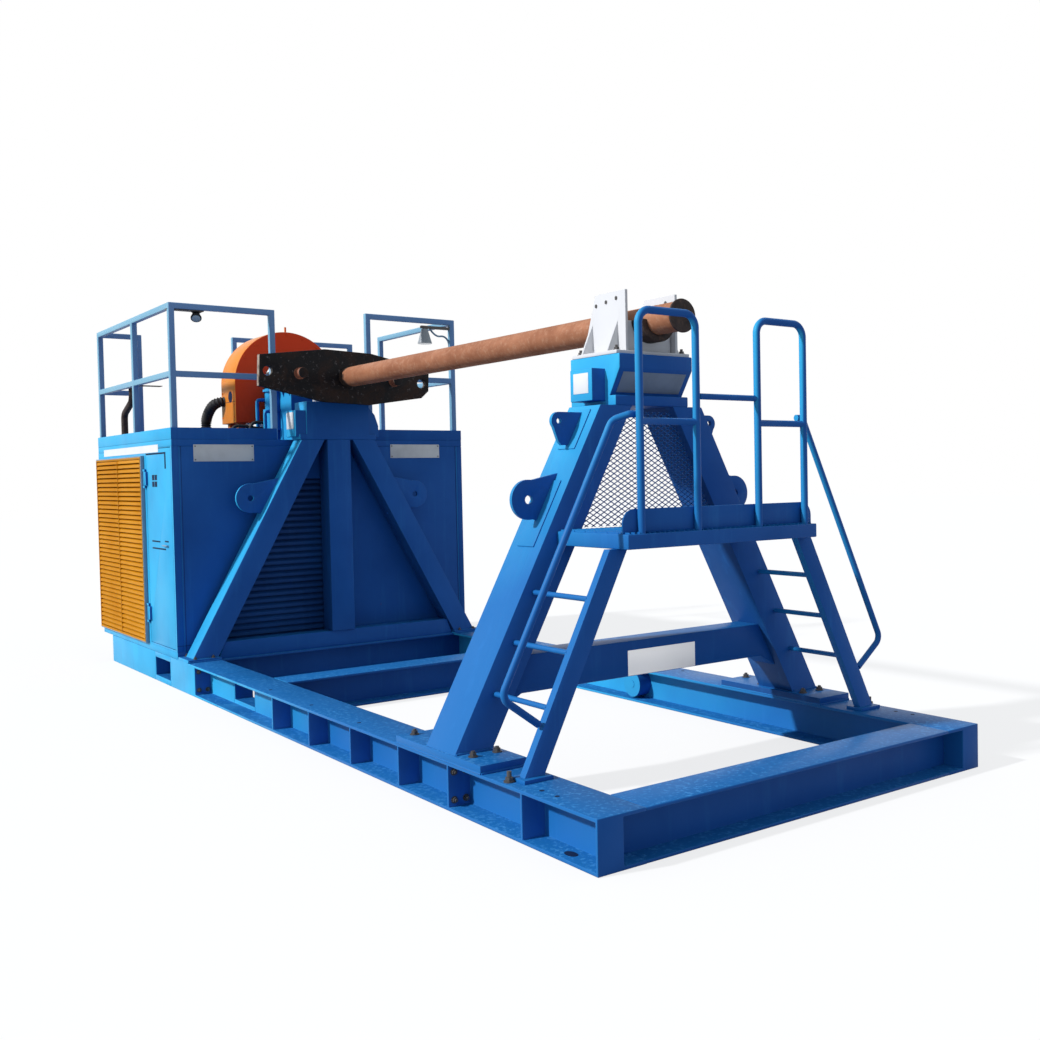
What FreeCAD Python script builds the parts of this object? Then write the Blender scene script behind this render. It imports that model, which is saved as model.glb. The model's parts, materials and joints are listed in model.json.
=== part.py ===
"""Shaft reel winch on a welded beam base, with a power container, a drive frame,
an outboard bearing frame, a through shaft and an access platform."""
import FreeCAD, Part
import Sketcher
import math
import os
import re

os.makedirs("parts", exist_ok=True)
doc = FreeCAD.newDocument("ReelWinch")
sheet = doc.addObject("Spreadsheet::Sheet", "Sizes")

# Every length is in millimetres and every angle in degrees. A "Setback" is the distance from
# the outer face of the front end beam, back along the shaft, to the face that it names.
sizes = {
    # base
    "baseLength": 8200, "baseWidth": 2800, "beamHeight": 260, "flangeWidth": 280,
    "flangeThickness": 18, "webThickness": 14, "stiffenerThickness": 15,
    "cornerStiffenerSetback": 615, "frontJointSetback": 1340, "stiffenerSetback": 1920,
    "stiffenerPitch": 650, "rearJointSetback": 5610,
    "pocketWidth": 440, "pocketHeight": 165, "pocketWall": 12,
    "frontPocketSetback": 4600, "rearPocketSetback": 6280,
    "middleBeamSetback": 4310, "driveBeamSetback": 5790, "rearCrossInset": 1000,
    # shaft and drive arm
    "shaftHeight": 2685, "shaftRadius": 87.5, "shaftEndSetback": 1005, "driveShaftRadius": 60,
    "driveShaftSetback": 6480, "runningClearance": 0.05, "partClearance": 5,
    "armSetback": 5580, "armThickness": 55, "armHalfLength": 800, "armEndHalfHeight": 134,
    "armMiddleHalfHeight": 232, "armMiddleHalfLength": 220, "armTilt": -2.4,
    "armCorner": 70, "armOuterHoleOffset": 725, "armOuterHoleRadius": 42, "pinOffset": 445, "pinRadius": 44,
    "pinLength": 90, "hubRadius": 125, "hubLength": 60,
    "collarRadius": 98, "collarLength": 15,
    # drive frame
    "driveFrameSetback": 5810, "driveFrameDepth": 190, "driveLegWidth": 215,
    "driveLegInset": 52, "driveLegTop": 349, "driveLegTopHeight": 2140, "footPlateThickness": 25,
    "postWidth": 220, "sillHeight": 140, "sillDepth": 150,
    "driveHeadHalfWidth": 300, "driveHeadTop": 2480, "driveHeadDepth": 270,
    "driveFlangeHalfWidth": 365, "driveFlangeThickness": 50,
    "drivePadeyeHeight": 1626, "drivePadeyeSize": 130, "drivePadeyeReach": 165, "driveLugBottom": 2165,
    "lugBoxReach": 100, "lugBoxLength": 220, "lugBoxHeight": 190, "lugBoxBottom": 2210,
    "lugBoxSetback": 1375,
    "lugChamferReach": 34, "lugChamferHeight": 110,
    # gearbox and guard
    "gearboxRadius": 200, "gearboxLength": 900, "gearboxBlockWidth": 380,
    "guardSetback": 7000, "guardDepth": 395, "guardRadius": 520, "guardInnerRadius": 235, "guardRise": 37,
    "guardLift": 195, "guardFootSize": 70, "guardFootInset": 40,
    "hoseRadius": 52, "hoseSetback": 7330, "hoseHeight": 415, "hoseReach": 90, "hoseBend": 62,
    "hoseFootSetback": 7600, "hoseFootHeight": 260, "hoseFootBend": 130,
    "exhaustRadius": 32, "exhaustSetback": 8290, "exhaustInset": 200, "exhaustRise": 330, "exhaustReach": 290,
    "exhaustLift": 110, "exhaustMouthReach": 50, "exhaustMouthRise": 140, "exhaustBend": 80,
    # container
    "containerSetback": 6055, "containerLength": 2475, "containerWidth": "=baseWidth",
    "wallThickness": 60, "roofThickness": 60, "floorThickness": 60,
    "louvreSetback": 6900, "louvreLength": 1590, "louvreBottom": 330, "louvreHeight": 1680,
    "containerTop": "=louvreBottom + louvreHeight + 135",
    "louvreThickness": 60, "louvreReach": 35, "louvreRim": 16, "louvreSeam": 10, "louvreBacking": 20,
    "bladeCount": 38, "bladeNose": 24, "bladeRise": 22, "bladeSetback": 4,
    "doorSetback": 6090, "doorWidth": 735, "doorBottom": 340, "doorThickness": 40,
    "doorHeight": "=containerTop - roofThickness - doorBottom - 10",
    "doorSeat": 25, "hingeRadius": 12, "hingeLength": 120, "hingeInset": 200, "hingeOffset": 14,
    "hingePinRadius": 7, "hingeLeafLength": 45, "hingeBracketLength": 40, "hingeBracketHeight": 20,
    "powerUnitInset": 500, "powerUnitWidth": 1400, "powerUnitHeight": 1150,
    "frontLouvreRight": 5, "frontLouvreBottom": 340, "frontLouvreHeight": 1450,
    "frontLouvreRecess": 8, "frontBladeCount": 26,
    "coamingHeight": 100, "coamingThickness": 10,
    # roof rails
    "railTube": 50, "railHeight": 1165, "midRailHeight": 585, "railInset": 15,
    "farRailLift": 35, "farRailInset": 40,
    "railMiddleSetback": 7220, "railNearFrontLength": 920, "railNearRearLength": 420,
    "railFarFrontLength": 950, "railFarSideLength": 1640, "railRearFarLength": 1390,
    # outboard frame
    "outFrameSetback": 1280, "outFrameDepth": 316, "outLegWidth": 232, "outLegInset": 10,
    "outLegTop": 389, "outLegTopHeight": 2180, "outFootPlate": 45, "outFootSetback": 1000,
    "outFootLength": 940,
    "outHeadSetback": 1237, "outHeadDepth": 493, "outHeadHalfWidth": 279, "outHeadTop": 2480,
    "outHeadBand": 85, "outHeadSlant": 103, "outHeadLedge": 2240,
    "tieBottom": 566, "tieHeight": 212, "tieDepth": 200, "haunchReach": 90, "haunchDrop": 75,
    "upperPadeyeHeight": 2090, "upperPadeyeSize": 52, "upperPadeyeReach": 144, "upperHoleRadius": 16,
    "upperPadeyeDrop": 140, "upperPadeyeNeck": 6, "upperPadeyeCorner": 20,
    "lowerPadeyeHeight": 1640, "lowerPadeyeSize": 114, "lowerPadeyeReach": 121,
    "padeyeThickness": 25, "padeyeHoleRadius": 25, "padeyeRoot": 132, "padeyeFlare": 0.2,
    # outboard bearing
    "bearingPlateThickness": 22, "bearingPlateSetback": 1262, "bearingPlateLength": 450,
    "bearingPlateWidth": 560, "cheekHalfWidth": 180, "cheekThickness": 20, "cheekSetback": 1275,
    "cheekLength": 425, "cheekTopLength": 295, "cheekTopReach": 175,
    "gussetThickness": 16, "gussetSetback": 1350, "gussetPitch": 250,
    "saddleHalfWidth": 170, "saddleSetback": 1310, "saddleLength": 290, "shellRadius": 130, "shellLength": 100,
    "bearingHalfWidth": 170,
    # access platform
    "platformSetback": 628, "platformHalfWidth": 710, "platformThickness": 80, "platformTop": 1462,
    "toeHeight": 130, "toeThickness": 10, "toeRadius": 80,
    "hoopTube": 42, "hoopInnerPost": 205, "hoopOuterPost": 600, "farHoopInner": 258, "farHoopOuter": 634,
    "hoopInset": 4, "hoopHeight": 1195, "hoopMiddle": 590, "hoopBend": 75, "crossBarHeight": 730,
    "stringerSetback": 725, "stringerDepth": 50, "stringerWidth": 118, "stringerTop": 700,
    "stringerInset": 150, "rungShift": 45, "rungRadius": 15, "rungPitch": 265, "rungFirst": 1130,
    "stringerPlate": 20,
    "handrailTube": 38, "handrailStart": 2090, "handrailStep": 110, "handrailDrop": 30,
    "handrailReach": 1420, "handrailLow": 690, "handrailEndHeight": 530,
    "meshThickness": 12, "meshBottomGap": 8,
}
for row, (alias, number) in enumerate(sizes.items(), start=1):
    sheet.set(f"A{row}", alias)
    sheet.set(f"B{row}", str(number))
    sheet.setAlias(f"B{row}", alias)
doc.recompute()

nodes = {}


def size(alias):
    """Read one driving size back from the sheet."""
    return float(sheet.get(alias))


originSetback = size("middleBeamSetback") + size("flangeWidth") / 2


def linked(text):
    """Point every size named in a formula at its cell."""
    def point(word):
        return "Sizes." + word.group(0) if word.group(0) in sizes else word.group(0)
    return re.sub(r"[A-Za-z]\w*", point, str(text))


def bind(item, place, text):
    item.setExpression(place, linked(text))


def keep(label, item):
    """Name a finished sub-part."""
    item.Label = label
    nodes[label] = item
    return item


def bindPlace(item, x, y, z):
    bind(item, "Placement.Base.x", x)
    bind(item, "Placement.Base.y", y)
    bind(item, "Placement.Base.z", z)


def box(x, y, z, length, width, height):
    """A block given by its low corner and its three sizes."""
    item = doc.addObject("Part::Box", "Block")
    bind(item, "Length", length)
    bind(item, "Width", width)
    bind(item, "Height", height)
    bindPlace(item, x, y, z)
    return item


turns = {
    "x": FreeCAD.Rotation(FreeCAD.Vector(0, 1, 0), 90),
    "y": FreeCAD.Rotation(FreeCAD.Vector(1, 0, 0), -90),
    "z": FreeCAD.Rotation(),
}


def rod(axis, radius, length, x, y, z):
    """A cylinder from a point along one axis."""
    item = doc.addObject("Part::Cylinder", "Rod")
    bind(item, "Radius", radius)
    bind(item, "Height", length)
    item.Placement.Rotation = turns[axis]
    bindPlace(item, x, y, z)
    return item


planeRoles = {"XY": "XY_Plane", "XZ": "XZ_Plane", "YZ": "YZ_Plane"}


def prism(plane, outline, start, depth, holes=()):
    """A sketched outline padded from start, by depth, along the plane's normal: +Z, -Y or +X."""
    body = doc.addObject("PartDesign::Body", "Plate")
    sketch = body.newObject("Sketcher::SketchObject", "Outline")
    origin = [feature for feature in body.Origin.OriginFeatures if feature.Role == planeRoles[plane]][0]
    sketch.AttachmentSupport = [(origin, "")]
    sketch.MapMode = "FlatFace"
    bind(sketch, "AttachmentOffset.Base.z", start)
    count = len(outline)
    for index in range(count):
        angle = 2 * math.pi * index / count
        after = 2 * math.pi * (index + 1) / count
        ends = [FreeCAD.Vector(1000 * math.cos(turn), 1000 * math.sin(turn), 0) for turn in (angle, after)]
        sketch.addGeometry(Part.LineSegment(*ends))
    for index in range(count):
        sketch.addConstraint(Sketcher.Constraint("Coincident", index, 2, (index + 1) % count, 1))
    for index, (across, up) in enumerate(outline):
        for kind, text in (("DistanceX", across), ("DistanceY", up)):
            number = sketch.addConstraint(Sketcher.Constraint(kind, -1, 1, index, 1, 1.0))
            bind(sketch, f"Constraints[{number}]", text)
    for across, up, radius in holes:
        ring = sketch.addGeometry(Part.Circle(FreeCAD.Vector(1, 1, 0), FreeCAD.Vector(0, 0, 1), 5))
        for kind, text in (("DistanceX", across), ("DistanceY", up)):
            number = sketch.addConstraint(Sketcher.Constraint(kind, -1, 1, ring, 3, 1.0))
            bind(sketch, f"Constraints[{number}]", text)
        number = sketch.addConstraint(Sketcher.Constraint("Radius", ring, 5.0))
        bind(sketch, f"Constraints[{number}]", radius)
    pad = body.newObject("PartDesign::Pad", "Pad")
    pad.Profile = sketch
    bind(pad, "Length", depth)
    body.Tip = pad
    return body


def joined(*items):
    item = doc.addObject("Part::MultiFuse", "Joined")
    item.Shapes = list(items)
    item.Refine = True
    return item


def cut(base, *tools):
    tool = tools[0] if len(tools) == 1 else joined(*tools)
    item = doc.addObject("Part::Cut", "Cut")
    item.Base = base
    item.Tool = tool
    return item


def shared(first, second):
    item = doc.addObject("Part::Common", "Shared")
    item.Base = first
    item.Tool = second
    return item


def at(setback):
    """The place along the shaft of a face at the given setback, from under the middle cross beam."""
    return f"(middleBeamSetback + flangeWidth / 2 - ({setback}))"


def tube(points, bends, radius):
    """A round bar along straight runs joined by tangent arcs."""
    corners = [FreeCAD.Vector(*point) for point in points]
    edges = []
    begin = corners[0]
    for index in range(1, len(corners) - 1):
        before = (corners[index - 1] - corners[index]).normalize()
        after = (corners[index + 1] - corners[index]).normalize()
        half = before.getAngle(after) / 2
        reach = bends[index - 1] / math.tan(half)
        first = corners[index] + before * reach
        last = corners[index] + after * reach
        middle = (before + after).normalize()
        mid = corners[index] + middle * (bends[index - 1] / math.sin(half) - bends[index - 1])
        edges.append(Part.LineSegment(begin, first).toShape())
        edges.append(Part.Arc(first, mid, last).toShape())
        begin = last
    edges.append(Part.LineSegment(begin, corners[-1]).toShape())
    path = Part.Wire(edges)
    direction = (corners[1] - corners[0]).normalize()
    profile = Part.Wire([Part.makeCircle(radius, corners[0], direction)])
    return path.makePipeShell([profile], True, True)


def shaped(shape):
    item = doc.addObject("Part::Feature", "Shaped")
    item.Shape = shape
    return item


# Base: two long side beams in bolted sections with fork pockets between them, and cross beams
innerHeight = "(beamHeight - 2 * flangeThickness)"


def beamSection(label, side, start, end, stations, closedFrom=""):
    """One H section length of a side beam: side is -1 for the near one and 1 for the far one."""
    centre = f"({side} * (baseWidth - flangeWidth) / 2)"
    outerFace = f"{side} * baseWidth / 2"
    length = f"{end} - ({start})"
    pieces = [box(at(end), f"{centre} - webThickness / 2", "flangeThickness", length, "webThickness",
                  innerHeight)]
    for height in ("0", "beamHeight - flangeThickness"):
        pieces.append(box(at(end), f"{centre} - flangeWidth / 2", height, length, "flangeWidth",
                          "flangeThickness"))
    outer = centre if side > 0 else outerFace
    for station in stations:
        pieces.append(box(f"{at(station)} - stiffenerThickness", outer, "flangeThickness",
                          "stiffenerThickness", "flangeWidth / 2", innerHeight))
    if closedFrom:
        closing = f"{outerFace} - stiffenerThickness" if side > 0 else outerFace
        pieces.append(box(at(end), closing, "flangeThickness", f"{end} - ({closedFrom})",
                          "stiffenerThickness", innerHeight))
    keep(label, joined(*pieces))


def forkPocket(label, side, setback, recessed):
    """A short length of side beam around one fork pocket; a recessed one starts at the web."""
    centre = f"({side} * (baseWidth - flangeWidth) / 2)"
    low = f"{centre} - flangeWidth / 2"
    block = box(f"{at(setback)} - pocketWidth - pocketWall", low, "0", "pocketWidth + 2 * pocketWall",
                "flangeWidth", "beamHeight")
    tools = [box(f"{at(setback)} - pocketWidth", f"{low} - 10", "(beamHeight - pocketHeight) / 2",
                 "pocketWidth", "flangeWidth + 20", "pocketHeight")]
    if recessed:
        bay = f"{centre} + webThickness / 2" if side > 0 else f"{low} - 10"
        tools.append(box(f"{at(setback)} - pocketWidth - pocketWall - 10", bay, "flangeThickness",
                         "pocketWidth + 2 * pocketWall + 20", "flangeWidth / 2 - webThickness / 2 + 10",
                         innerHeight))
    keep(label, cut(block, *tools))


for name, side in (("near", -1), ("far", 1)):
    stations = ["0", "cornerStiffenerSetback", "frontJointSetback"]
    stations += [f"stiffenerSetback + {step} * stiffenerPitch" for step in range(4)]
    beamSection(f"side_beam_{name}_front", side, "0", "frontPocketSetback - pocketWall", stations)
    beamSection(f"side_beam_{name}_middle", side, "frontPocketSetback + pocketWidth + pocketWall",
                "rearPocketSetback - pocketWall", ["rearJointSetback"], "rearJointSetback")
    rearStart = "rearPocketSetback + pocketWidth + pocketWall"
    beamSection(f"side_beam_{name}_rear", side, rearStart, "baseLength", ["baseLength - stiffenerThickness"],
                rearStart)
    forkPocket(f"fork_pocket_{name}_front", side, "frontPocketSetback", True)
    forkPocket(f"fork_pocket_{name}_rear", side, "rearPocketSetback", False)


def crossBeam(label, setback):
    """A beam between the two side beams, with its front flange edges at the setback."""
    front = at(setback)
    inside = "(baseWidth / 2 - flangeWidth)"
    webReach = "(baseWidth / 2 - flangeWidth / 2 - webThickness / 2)"
    pieces = [box(f"{front} - flangeWidth / 2 - webThickness / 2", f"-{webReach}", "flangeThickness",
                  "webThickness", f"2 * {webReach}", "beamHeight - 2 * flangeThickness")]
    for height in ("0", "beamHeight - flangeThickness"):
        pieces.append(box(f"{front} - flangeWidth", f"-{inside}", height,
                          "flangeWidth", f"2 * {inside}", "flangeThickness"))
    keep(label, joined(*pieces))


crossBeam("end_beam_front", "0")
crossBeam("cross_beam_middle", "middleBeamSetback")
crossBeam("cross_beam_drive", "driveBeamSetback")
crossBeam("cross_beam_rear", "baseLength - rearCrossInset")
crossBeam("end_beam_rear", "baseLength - flangeWidth")


# Drive frame: two sloping legs, a centre post, a sill and a head
driveFoot = "(beamHeight + footPlateThickness)"
driveLegFoot = "(baseWidth / 2 - driveLegInset)"
driveSlope = f"(({driveLegFoot} - driveLegTop) / (driveLegTopHeight - {driveFoot}))"
driveBack = f"({at('driveFrameSetback')} - driveFrameDepth)"


def eared(side, foot, top, width, low, high):
    """The four corners of a sloping leg, seen from the front."""
    corners = [(f"-({foot})", low), (f"-({foot}) + ({width})", low),
               (f"-({top}) + ({width})", high), (f"-({top})", high)]
    if side > 0:
        corners = [(f"-({across})", up) for across, up in reversed(corners)]
    return corners


def padeye(side, edge, height, radius, reach, backFace, holeRadius):
    """A lug plate that flares into a sloping leg's edge, and the tool for its hole."""
    centre = f"({edge} + {reach})"
    root = f"({edge} - padeyeRoot)"
    cosine = "sqrt(1 - padeyeFlare ^ 2)"
    touch = f"({centre} - padeyeFlare * {radius})"
    touchHalf = f"({radius} * {cosine})"
    rootHalf = f"({touchHalf} + ({touch} - {root}) * padeyeFlare / {cosine})"
    outline = [(root, f"{height} - {rootHalf}"), (touch, f"{height} - {touchHalf}"),
               (touch, f"{height} + {touchHalf}"), (root, f"{height} + {rootHalf}")]
    return eyePlate(outline, side, centre, height, radius, backFace, holeRadius)


def eyePlate(outline, side, centre, height, radius, backFace, holeRadius):
    plate = prism("YZ", [(f"{side} * ({across})", up) for across, up in outline], backFace, "padeyeThickness")
    eye = rod("x", radius, "padeyeThickness", backFace, f"{side} * {centre}", height)
    hole = rod("x", holeRadius, "padeyeThickness + 20", f"{backFace} - 10", f"{side} * {centre}", height)
    return joined(plate, eye), hole


def upperPadeye(side, edge, backFace):
    """A small lug whose outer edge slopes in towards the leg below its eye."""
    centre = f"({edge} + upperPadeyeReach)"
    root = f"({edge} - padeyeRoot)"
    height = "upperPadeyeHeight"
    foot = f"{height} - upperPadeyeDrop"
    outline = [(root, f"{height} + upperPadeyeSize"), (centre, f"{height} + upperPadeyeSize"),
               (f"{centre} + upperPadeyeSize", height),
               (f"{centre} + upperPadeyeNeck", f"{foot} + upperPadeyeCorner"),
               (f"{centre} + upperPadeyeNeck - upperPadeyeCorner", foot), (root, foot)]
    return eyePlate(outline, side, centre, height, "upperPadeyeSize", backFace, "upperHoleRadius")


for label, side in (("drive_leg_near", -1), ("drive_leg_far", 1)):
    corners = eared(side, driveLegFoot, "driveLegTop", "driveLegWidth", driveFoot, "driveLegTopHeight")
    leg = prism("YZ", corners, driveBack, "driveFrameDepth")
    footSide = "-baseWidth / 2" if side < 0 else "baseWidth / 2 - flangeWidth"
    foot = box(f"{driveBack} - 40", footSide, "beamHeight", "driveFrameDepth + 80", "flangeWidth",
               "footPlateThickness")
    padeyeBack = f"({driveBack} + (driveFrameDepth - padeyeThickness) / 2)"
    root = f"(driveLegTop + {driveSlope} * (driveLegTopHeight - drivePadeyeHeight))"
    eye, hole = padeye(side, root, "drivePadeyeHeight", "drivePadeyeSize", "drivePadeyeReach", padeyeBack,
                       "padeyeHoleRadius")
    keep(label, cut(joined(leg, foot, eye), hole))

keep("drive_post", box(driveBack, "-postWidth / 2", "beamHeight + sillHeight", "driveFrameDepth",
                       "postWidth", "driveLegTopHeight - beamHeight - sillHeight"))
sillEdge = "(baseWidth / 2 - flangeWidth)"
sillHigh = f"({driveLegFoot} - driveLegWidth - {driveSlope} * (sillHeight - footPlateThickness))"
keep("drive_sill", prism("YZ", [(f"-{sillEdge}", "beamHeight"), (sillEdge, "beamHeight"),
                                (sillEdge, "beamHeight + 2"), (sillHigh, "beamHeight + sillHeight"),
                                (f"-{sillHigh}", "beamHeight + sillHeight"),
                                (f"-{sillEdge}", "beamHeight + 2")],
                         f"{driveBack} + 20", "sillDepth"))
lugBox = box(f"{driveBack} + driveFrameDepth - driveHeadDepth + 40", "-driveHeadHalfWidth - lugBoxReach",
             "driveLugBottom", "driveHeadDepth - 50", "lugBoxReach",
             "lugBoxBottom + lugBoxHeight - driveLugBottom")
lugPlate = prism("YZ", [("driveHeadHalfWidth", "driveLugBottom"),
                        ("driveHeadHalfWidth + lugBoxReach", "driveLugBottom"),
                        ("driveHeadHalfWidth + lugBoxReach", "driveHeadTop - lugChamferHeight - lugBoxReach"),
                        ("driveHeadHalfWidth + lugBoxReach - lugChamferReach",
                         "driveHeadTop - lugChamferHeight"),
                        ("driveHeadHalfWidth", "driveHeadTop - lugChamferReach")],
                 f"{driveBack} + 20", "driveFrameDepth - 40")
keep("drive_head", joined(
    box(driveBack, "-driveFlangeHalfWidth", "driveLegTopHeight", "driveFrameDepth", "2 * driveFlangeHalfWidth",
        "driveFlangeThickness"),
    box(f"{driveBack} + driveFrameDepth - driveHeadDepth", "-driveHeadHalfWidth",
        "driveLegTopHeight + driveFlangeThickness", "driveHeadDepth", "2 * driveHeadHalfWidth",
        "driveHeadTop - driveLegTopHeight - driveFlangeThickness"),
    lugBox, lugPlate))
driveBearing = cut(
    joined(box(f"{driveBack} + 15", "-bearingHalfWidth", "driveHeadTop", "driveFrameDepth - 30",
               "2 * bearingHalfWidth", "shaftHeight - driveHeadTop"),
           rod("x", "bearingHalfWidth", "driveFrameDepth - 30", f"{driveBack} + 15", "0", "shaftHeight")),
    rod("x", "driveShaftRadius + runningClearance", "driveFrameDepth", driveBack, "0", "shaftHeight"))
keep("drive_bearing", driveBearing)

# Shaft, arm and end collar: everything that turns
armFront = at("armSetback")
armBack = f"({armFront} - armThickness)"
keep("shaft", rod("x", "shaftRadius", "armSetback - shaftEndSetback", armFront, "0", "shaftHeight"))
collarBack = f"({at('shaftEndSetback')})"
keep("shaft_collar", rod("x", "collarRadius", "collarLength", collarBack, "0", "shaftHeight"))


armOutline = [("-armHalfLength", "-armEndHalfHeight"), ("-armMiddleHalfLength", "-armMiddleHalfHeight"),
        ("armMiddleHalfLength", "-armMiddleHalfHeight"),
        ("armHalfLength - armCorner", "-armEndHalfHeight"), ("armHalfLength", "armCorner - armEndHalfHeight"),
        ("armHalfLength", "armEndHalfHeight"), ("armMiddleHalfLength", "armMiddleHalfHeight"),
        ("-armMiddleHalfLength", "armMiddleHalfHeight"), ("-armHalfLength", "armEndHalfHeight")]
plate = prism("YZ", armOutline, armBack, "armThickness",
              [(f"{side} * armOuterHoleOffset", "0", "armOuterHoleRadius") for side in (-1, 1)])
pins = [rod("x", "pinRadius", "pinLength", armFront, f"{side} * pinOffset", "0") for side in (-1, 1)]
hubs = [rod("x", "hubRadius", "hubLength", f"{armBack} - hubLength", "0", "0"),
        rod("x", "driveShaftRadius", "driveShaftSetback - armSetback - armThickness",
            at("driveShaftSetback"), "0", "0")]
arm = joined(plate, *pins, *hubs)
bind(arm, "Placement.Base.z", "shaftHeight")
bind(arm, "Placement.Rotation.Angle", "armTilt")
arm.Placement.Rotation = FreeCAD.Rotation(FreeCAD.Vector(1, 0, 0), sizes["armTilt"])
keep("drive_arm", arm)

# Gearbox on the container roof, and its arched guard
gearFront = f"({at('driveShaftSetback')} + 40)"
gearBack = f"({gearFront} - gearboxLength)"
gearbox = cut(
    joined(rod("x", "gearboxRadius", "gearboxLength", gearBack, "0", "shaftHeight"),
           box(gearBack, "-gearboxBlockWidth / 2", "containerTop", "gearboxLength", "gearboxBlockWidth",
               "shaftHeight - containerTop")),
    rod("x", "driveShaftRadius + runningClearance", "60", f"{gearFront} - 50", "0", "shaftHeight"))
keep("gearbox", gearbox)
guardBack = f"({at('guardSetback')} - guardDepth)"
guardHeight = "(shaftHeight + guardRise)"
guardFoot = "(containerTop + guardLift)"
arch = cut(
    joined(rod("x", "guardRadius", "guardDepth", guardBack, "0", guardHeight),
           box(guardBack, "-guardRadius", guardFoot, "guardDepth", "2 * guardRadius",
               f"{guardHeight} - {guardFoot}")),
    rod("x", "guardInnerRadius", "guardDepth + 20", f"{guardBack} - 10", "0", guardHeight),
    box(f"{guardBack} - 10", "-guardInnerRadius", "containerTop - 10", "guardDepth + 20",
        "2 * guardInnerRadius", f"{guardHeight} - containerTop + 10"),
    box(f"{guardBack} - 10", "-guardRadius - 10", "containerTop - 10", "guardDepth + 20",
        "2 * guardRadius + 20", "guardLift + 10"))
feet = [box(x, y, "containerTop", "guardFootSize", "guardFootSize", "guardLift")
        for x in (f"{guardBack} + guardFootInset", f"{guardBack} + guardDepth - guardFootInset - guardFootSize")
        for y in ("guardFootInset - guardRadius", "guardRadius - guardFootInset - guardFootSize")]
keep("gear_guard", joined(arch, *feet))
deck = size("containerTop")
guardSide = -size("guardRadius")
hoseSide = guardSide - size("hoseReach")
hoseX = originSetback - size("hoseSetback")
hoseFootX = originSetback - size("hoseFootSetback")
keep("guard_hose", shaped(tube(
    [(hoseX, guardSide, deck + size("hoseHeight")), (hoseX, hoseSide, deck + size("hoseHeight")),
     (hoseFootX, hoseSide, deck + size("hoseFootHeight")), (hoseFootX, hoseSide, deck)],
    [size("hoseBend"), size("hoseFootBend")], size("hoseRadius"))))
exhaustX = originSetback - size("exhaustSetback")
exhaustSide = size("exhaustInset") - size("containerWidth") / 2
bendTop = deck + size("exhaustRise") + size("exhaustLift")
keep("exhaust_pipe", shaped(tube(
    [(exhaustX, exhaustSide, deck), (exhaustX, exhaustSide, deck + size("exhaustRise")),
     (exhaustX + size("exhaustReach"), exhaustSide, bendTop),
     (exhaustX + size("exhaustReach") + size("exhaustMouthReach"), exhaustSide,
      bendTop + size("exhaustMouthRise"))],
    [size("exhaustBend")] * 2, size("exhaustRadius"))))

# Power container: floor, walls, roof, louvres and a side door
front = at("containerSetback")
back = f"({front} - containerLength)"
half = "containerWidth / 2"
wallFoot = "(beamHeight + floorThickness)"
wallTop = "(containerTop - roofThickness)"
keep("container_floor", box(back, f"-{half}", "beamHeight", "containerLength", "containerWidth",
                            "floorThickness"))
keep("container_roof", box(back, f"-{half}", wallTop, "containerLength", "containerWidth", "roofThickness"))
keep("container_wall_rear", box(back, f"-{half} + wallThickness", wallFoot, "wallThickness",
                                "containerWidth - 2 * wallThickness", f"{wallTop} - {wallFoot}"))
keep("container_wall_far", box(back, f"{half} - wallThickness", wallFoot, "containerLength", "wallThickness",
                               f"{wallTop} - {wallFoot}"))


def blades(plane, start, length, inside, outside, bottom, pitch, count):
    """Slanting blades, one above the other, each with a nose that stands lower than its root."""
    rows = []
    for step in range(int(count)):
        low = f"{bottom} + ({step} + 0.25) * {pitch}"
        outline = [(outside, low), (outside, f"{low} + bladeNose"),
                   (inside, f"{low} + bladeNose + bladeRise"), (inside, f"{low} + bladeRise")]
        rows.append(prism(plane, outline, start, length))
    return rows


# The front louvre's left edge follows the drive leg that stands before it.
louvreTop = "(frontLouvreBottom + frontLouvreHeight)"
legMiddle = [f"(driveLegWidth / 2 - {driveLegFoot} + {driveSlope} * ({height} - {driveFoot}))"
             for height in ("frontLouvreBottom", louvreTop)]
frontOpening = [(legMiddle[0], "frontLouvreBottom"), ("frontLouvreRight", "frontLouvreBottom"),
                ("frontLouvreRight", louvreTop), (legMiddle[1], louvreTop)]
frontWall = cut(
    box(f"{front} - wallThickness", f"-{half} + wallThickness", wallFoot, "wallThickness",
        "containerWidth - 2 * wallThickness", f"{wallTop} - {wallFoot}"),
    prism("YZ", frontOpening, f"{front} - wallThickness - 10", "wallThickness + 20"))
keep("container_wall_front", frontWall)
frontBlades = blades("XZ", "-frontLouvreRight", f"frontLouvreRight - {legMiddle[0]}",
                     f"{front} - wallThickness + louvreBacking", f"{front} - frontLouvreRecess",
                     "frontLouvreBottom", "frontLouvreHeight / frontBladeCount", size("frontBladeCount"))
frontPanel = prism("YZ", frontOpening, f"{front} - wallThickness", "louvreBacking")
frontSpace = prism("YZ", frontOpening, f"{front} - wallThickness", "wallThickness")
keep("front_louvre", joined(frontPanel, shared(joined(*frontBlades), frontSpace)))
doorBack = f"({at('doorSetback')} - doorWidth)"
louvreBack = f"({at('louvreSetback')} - louvreLength)"
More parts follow.
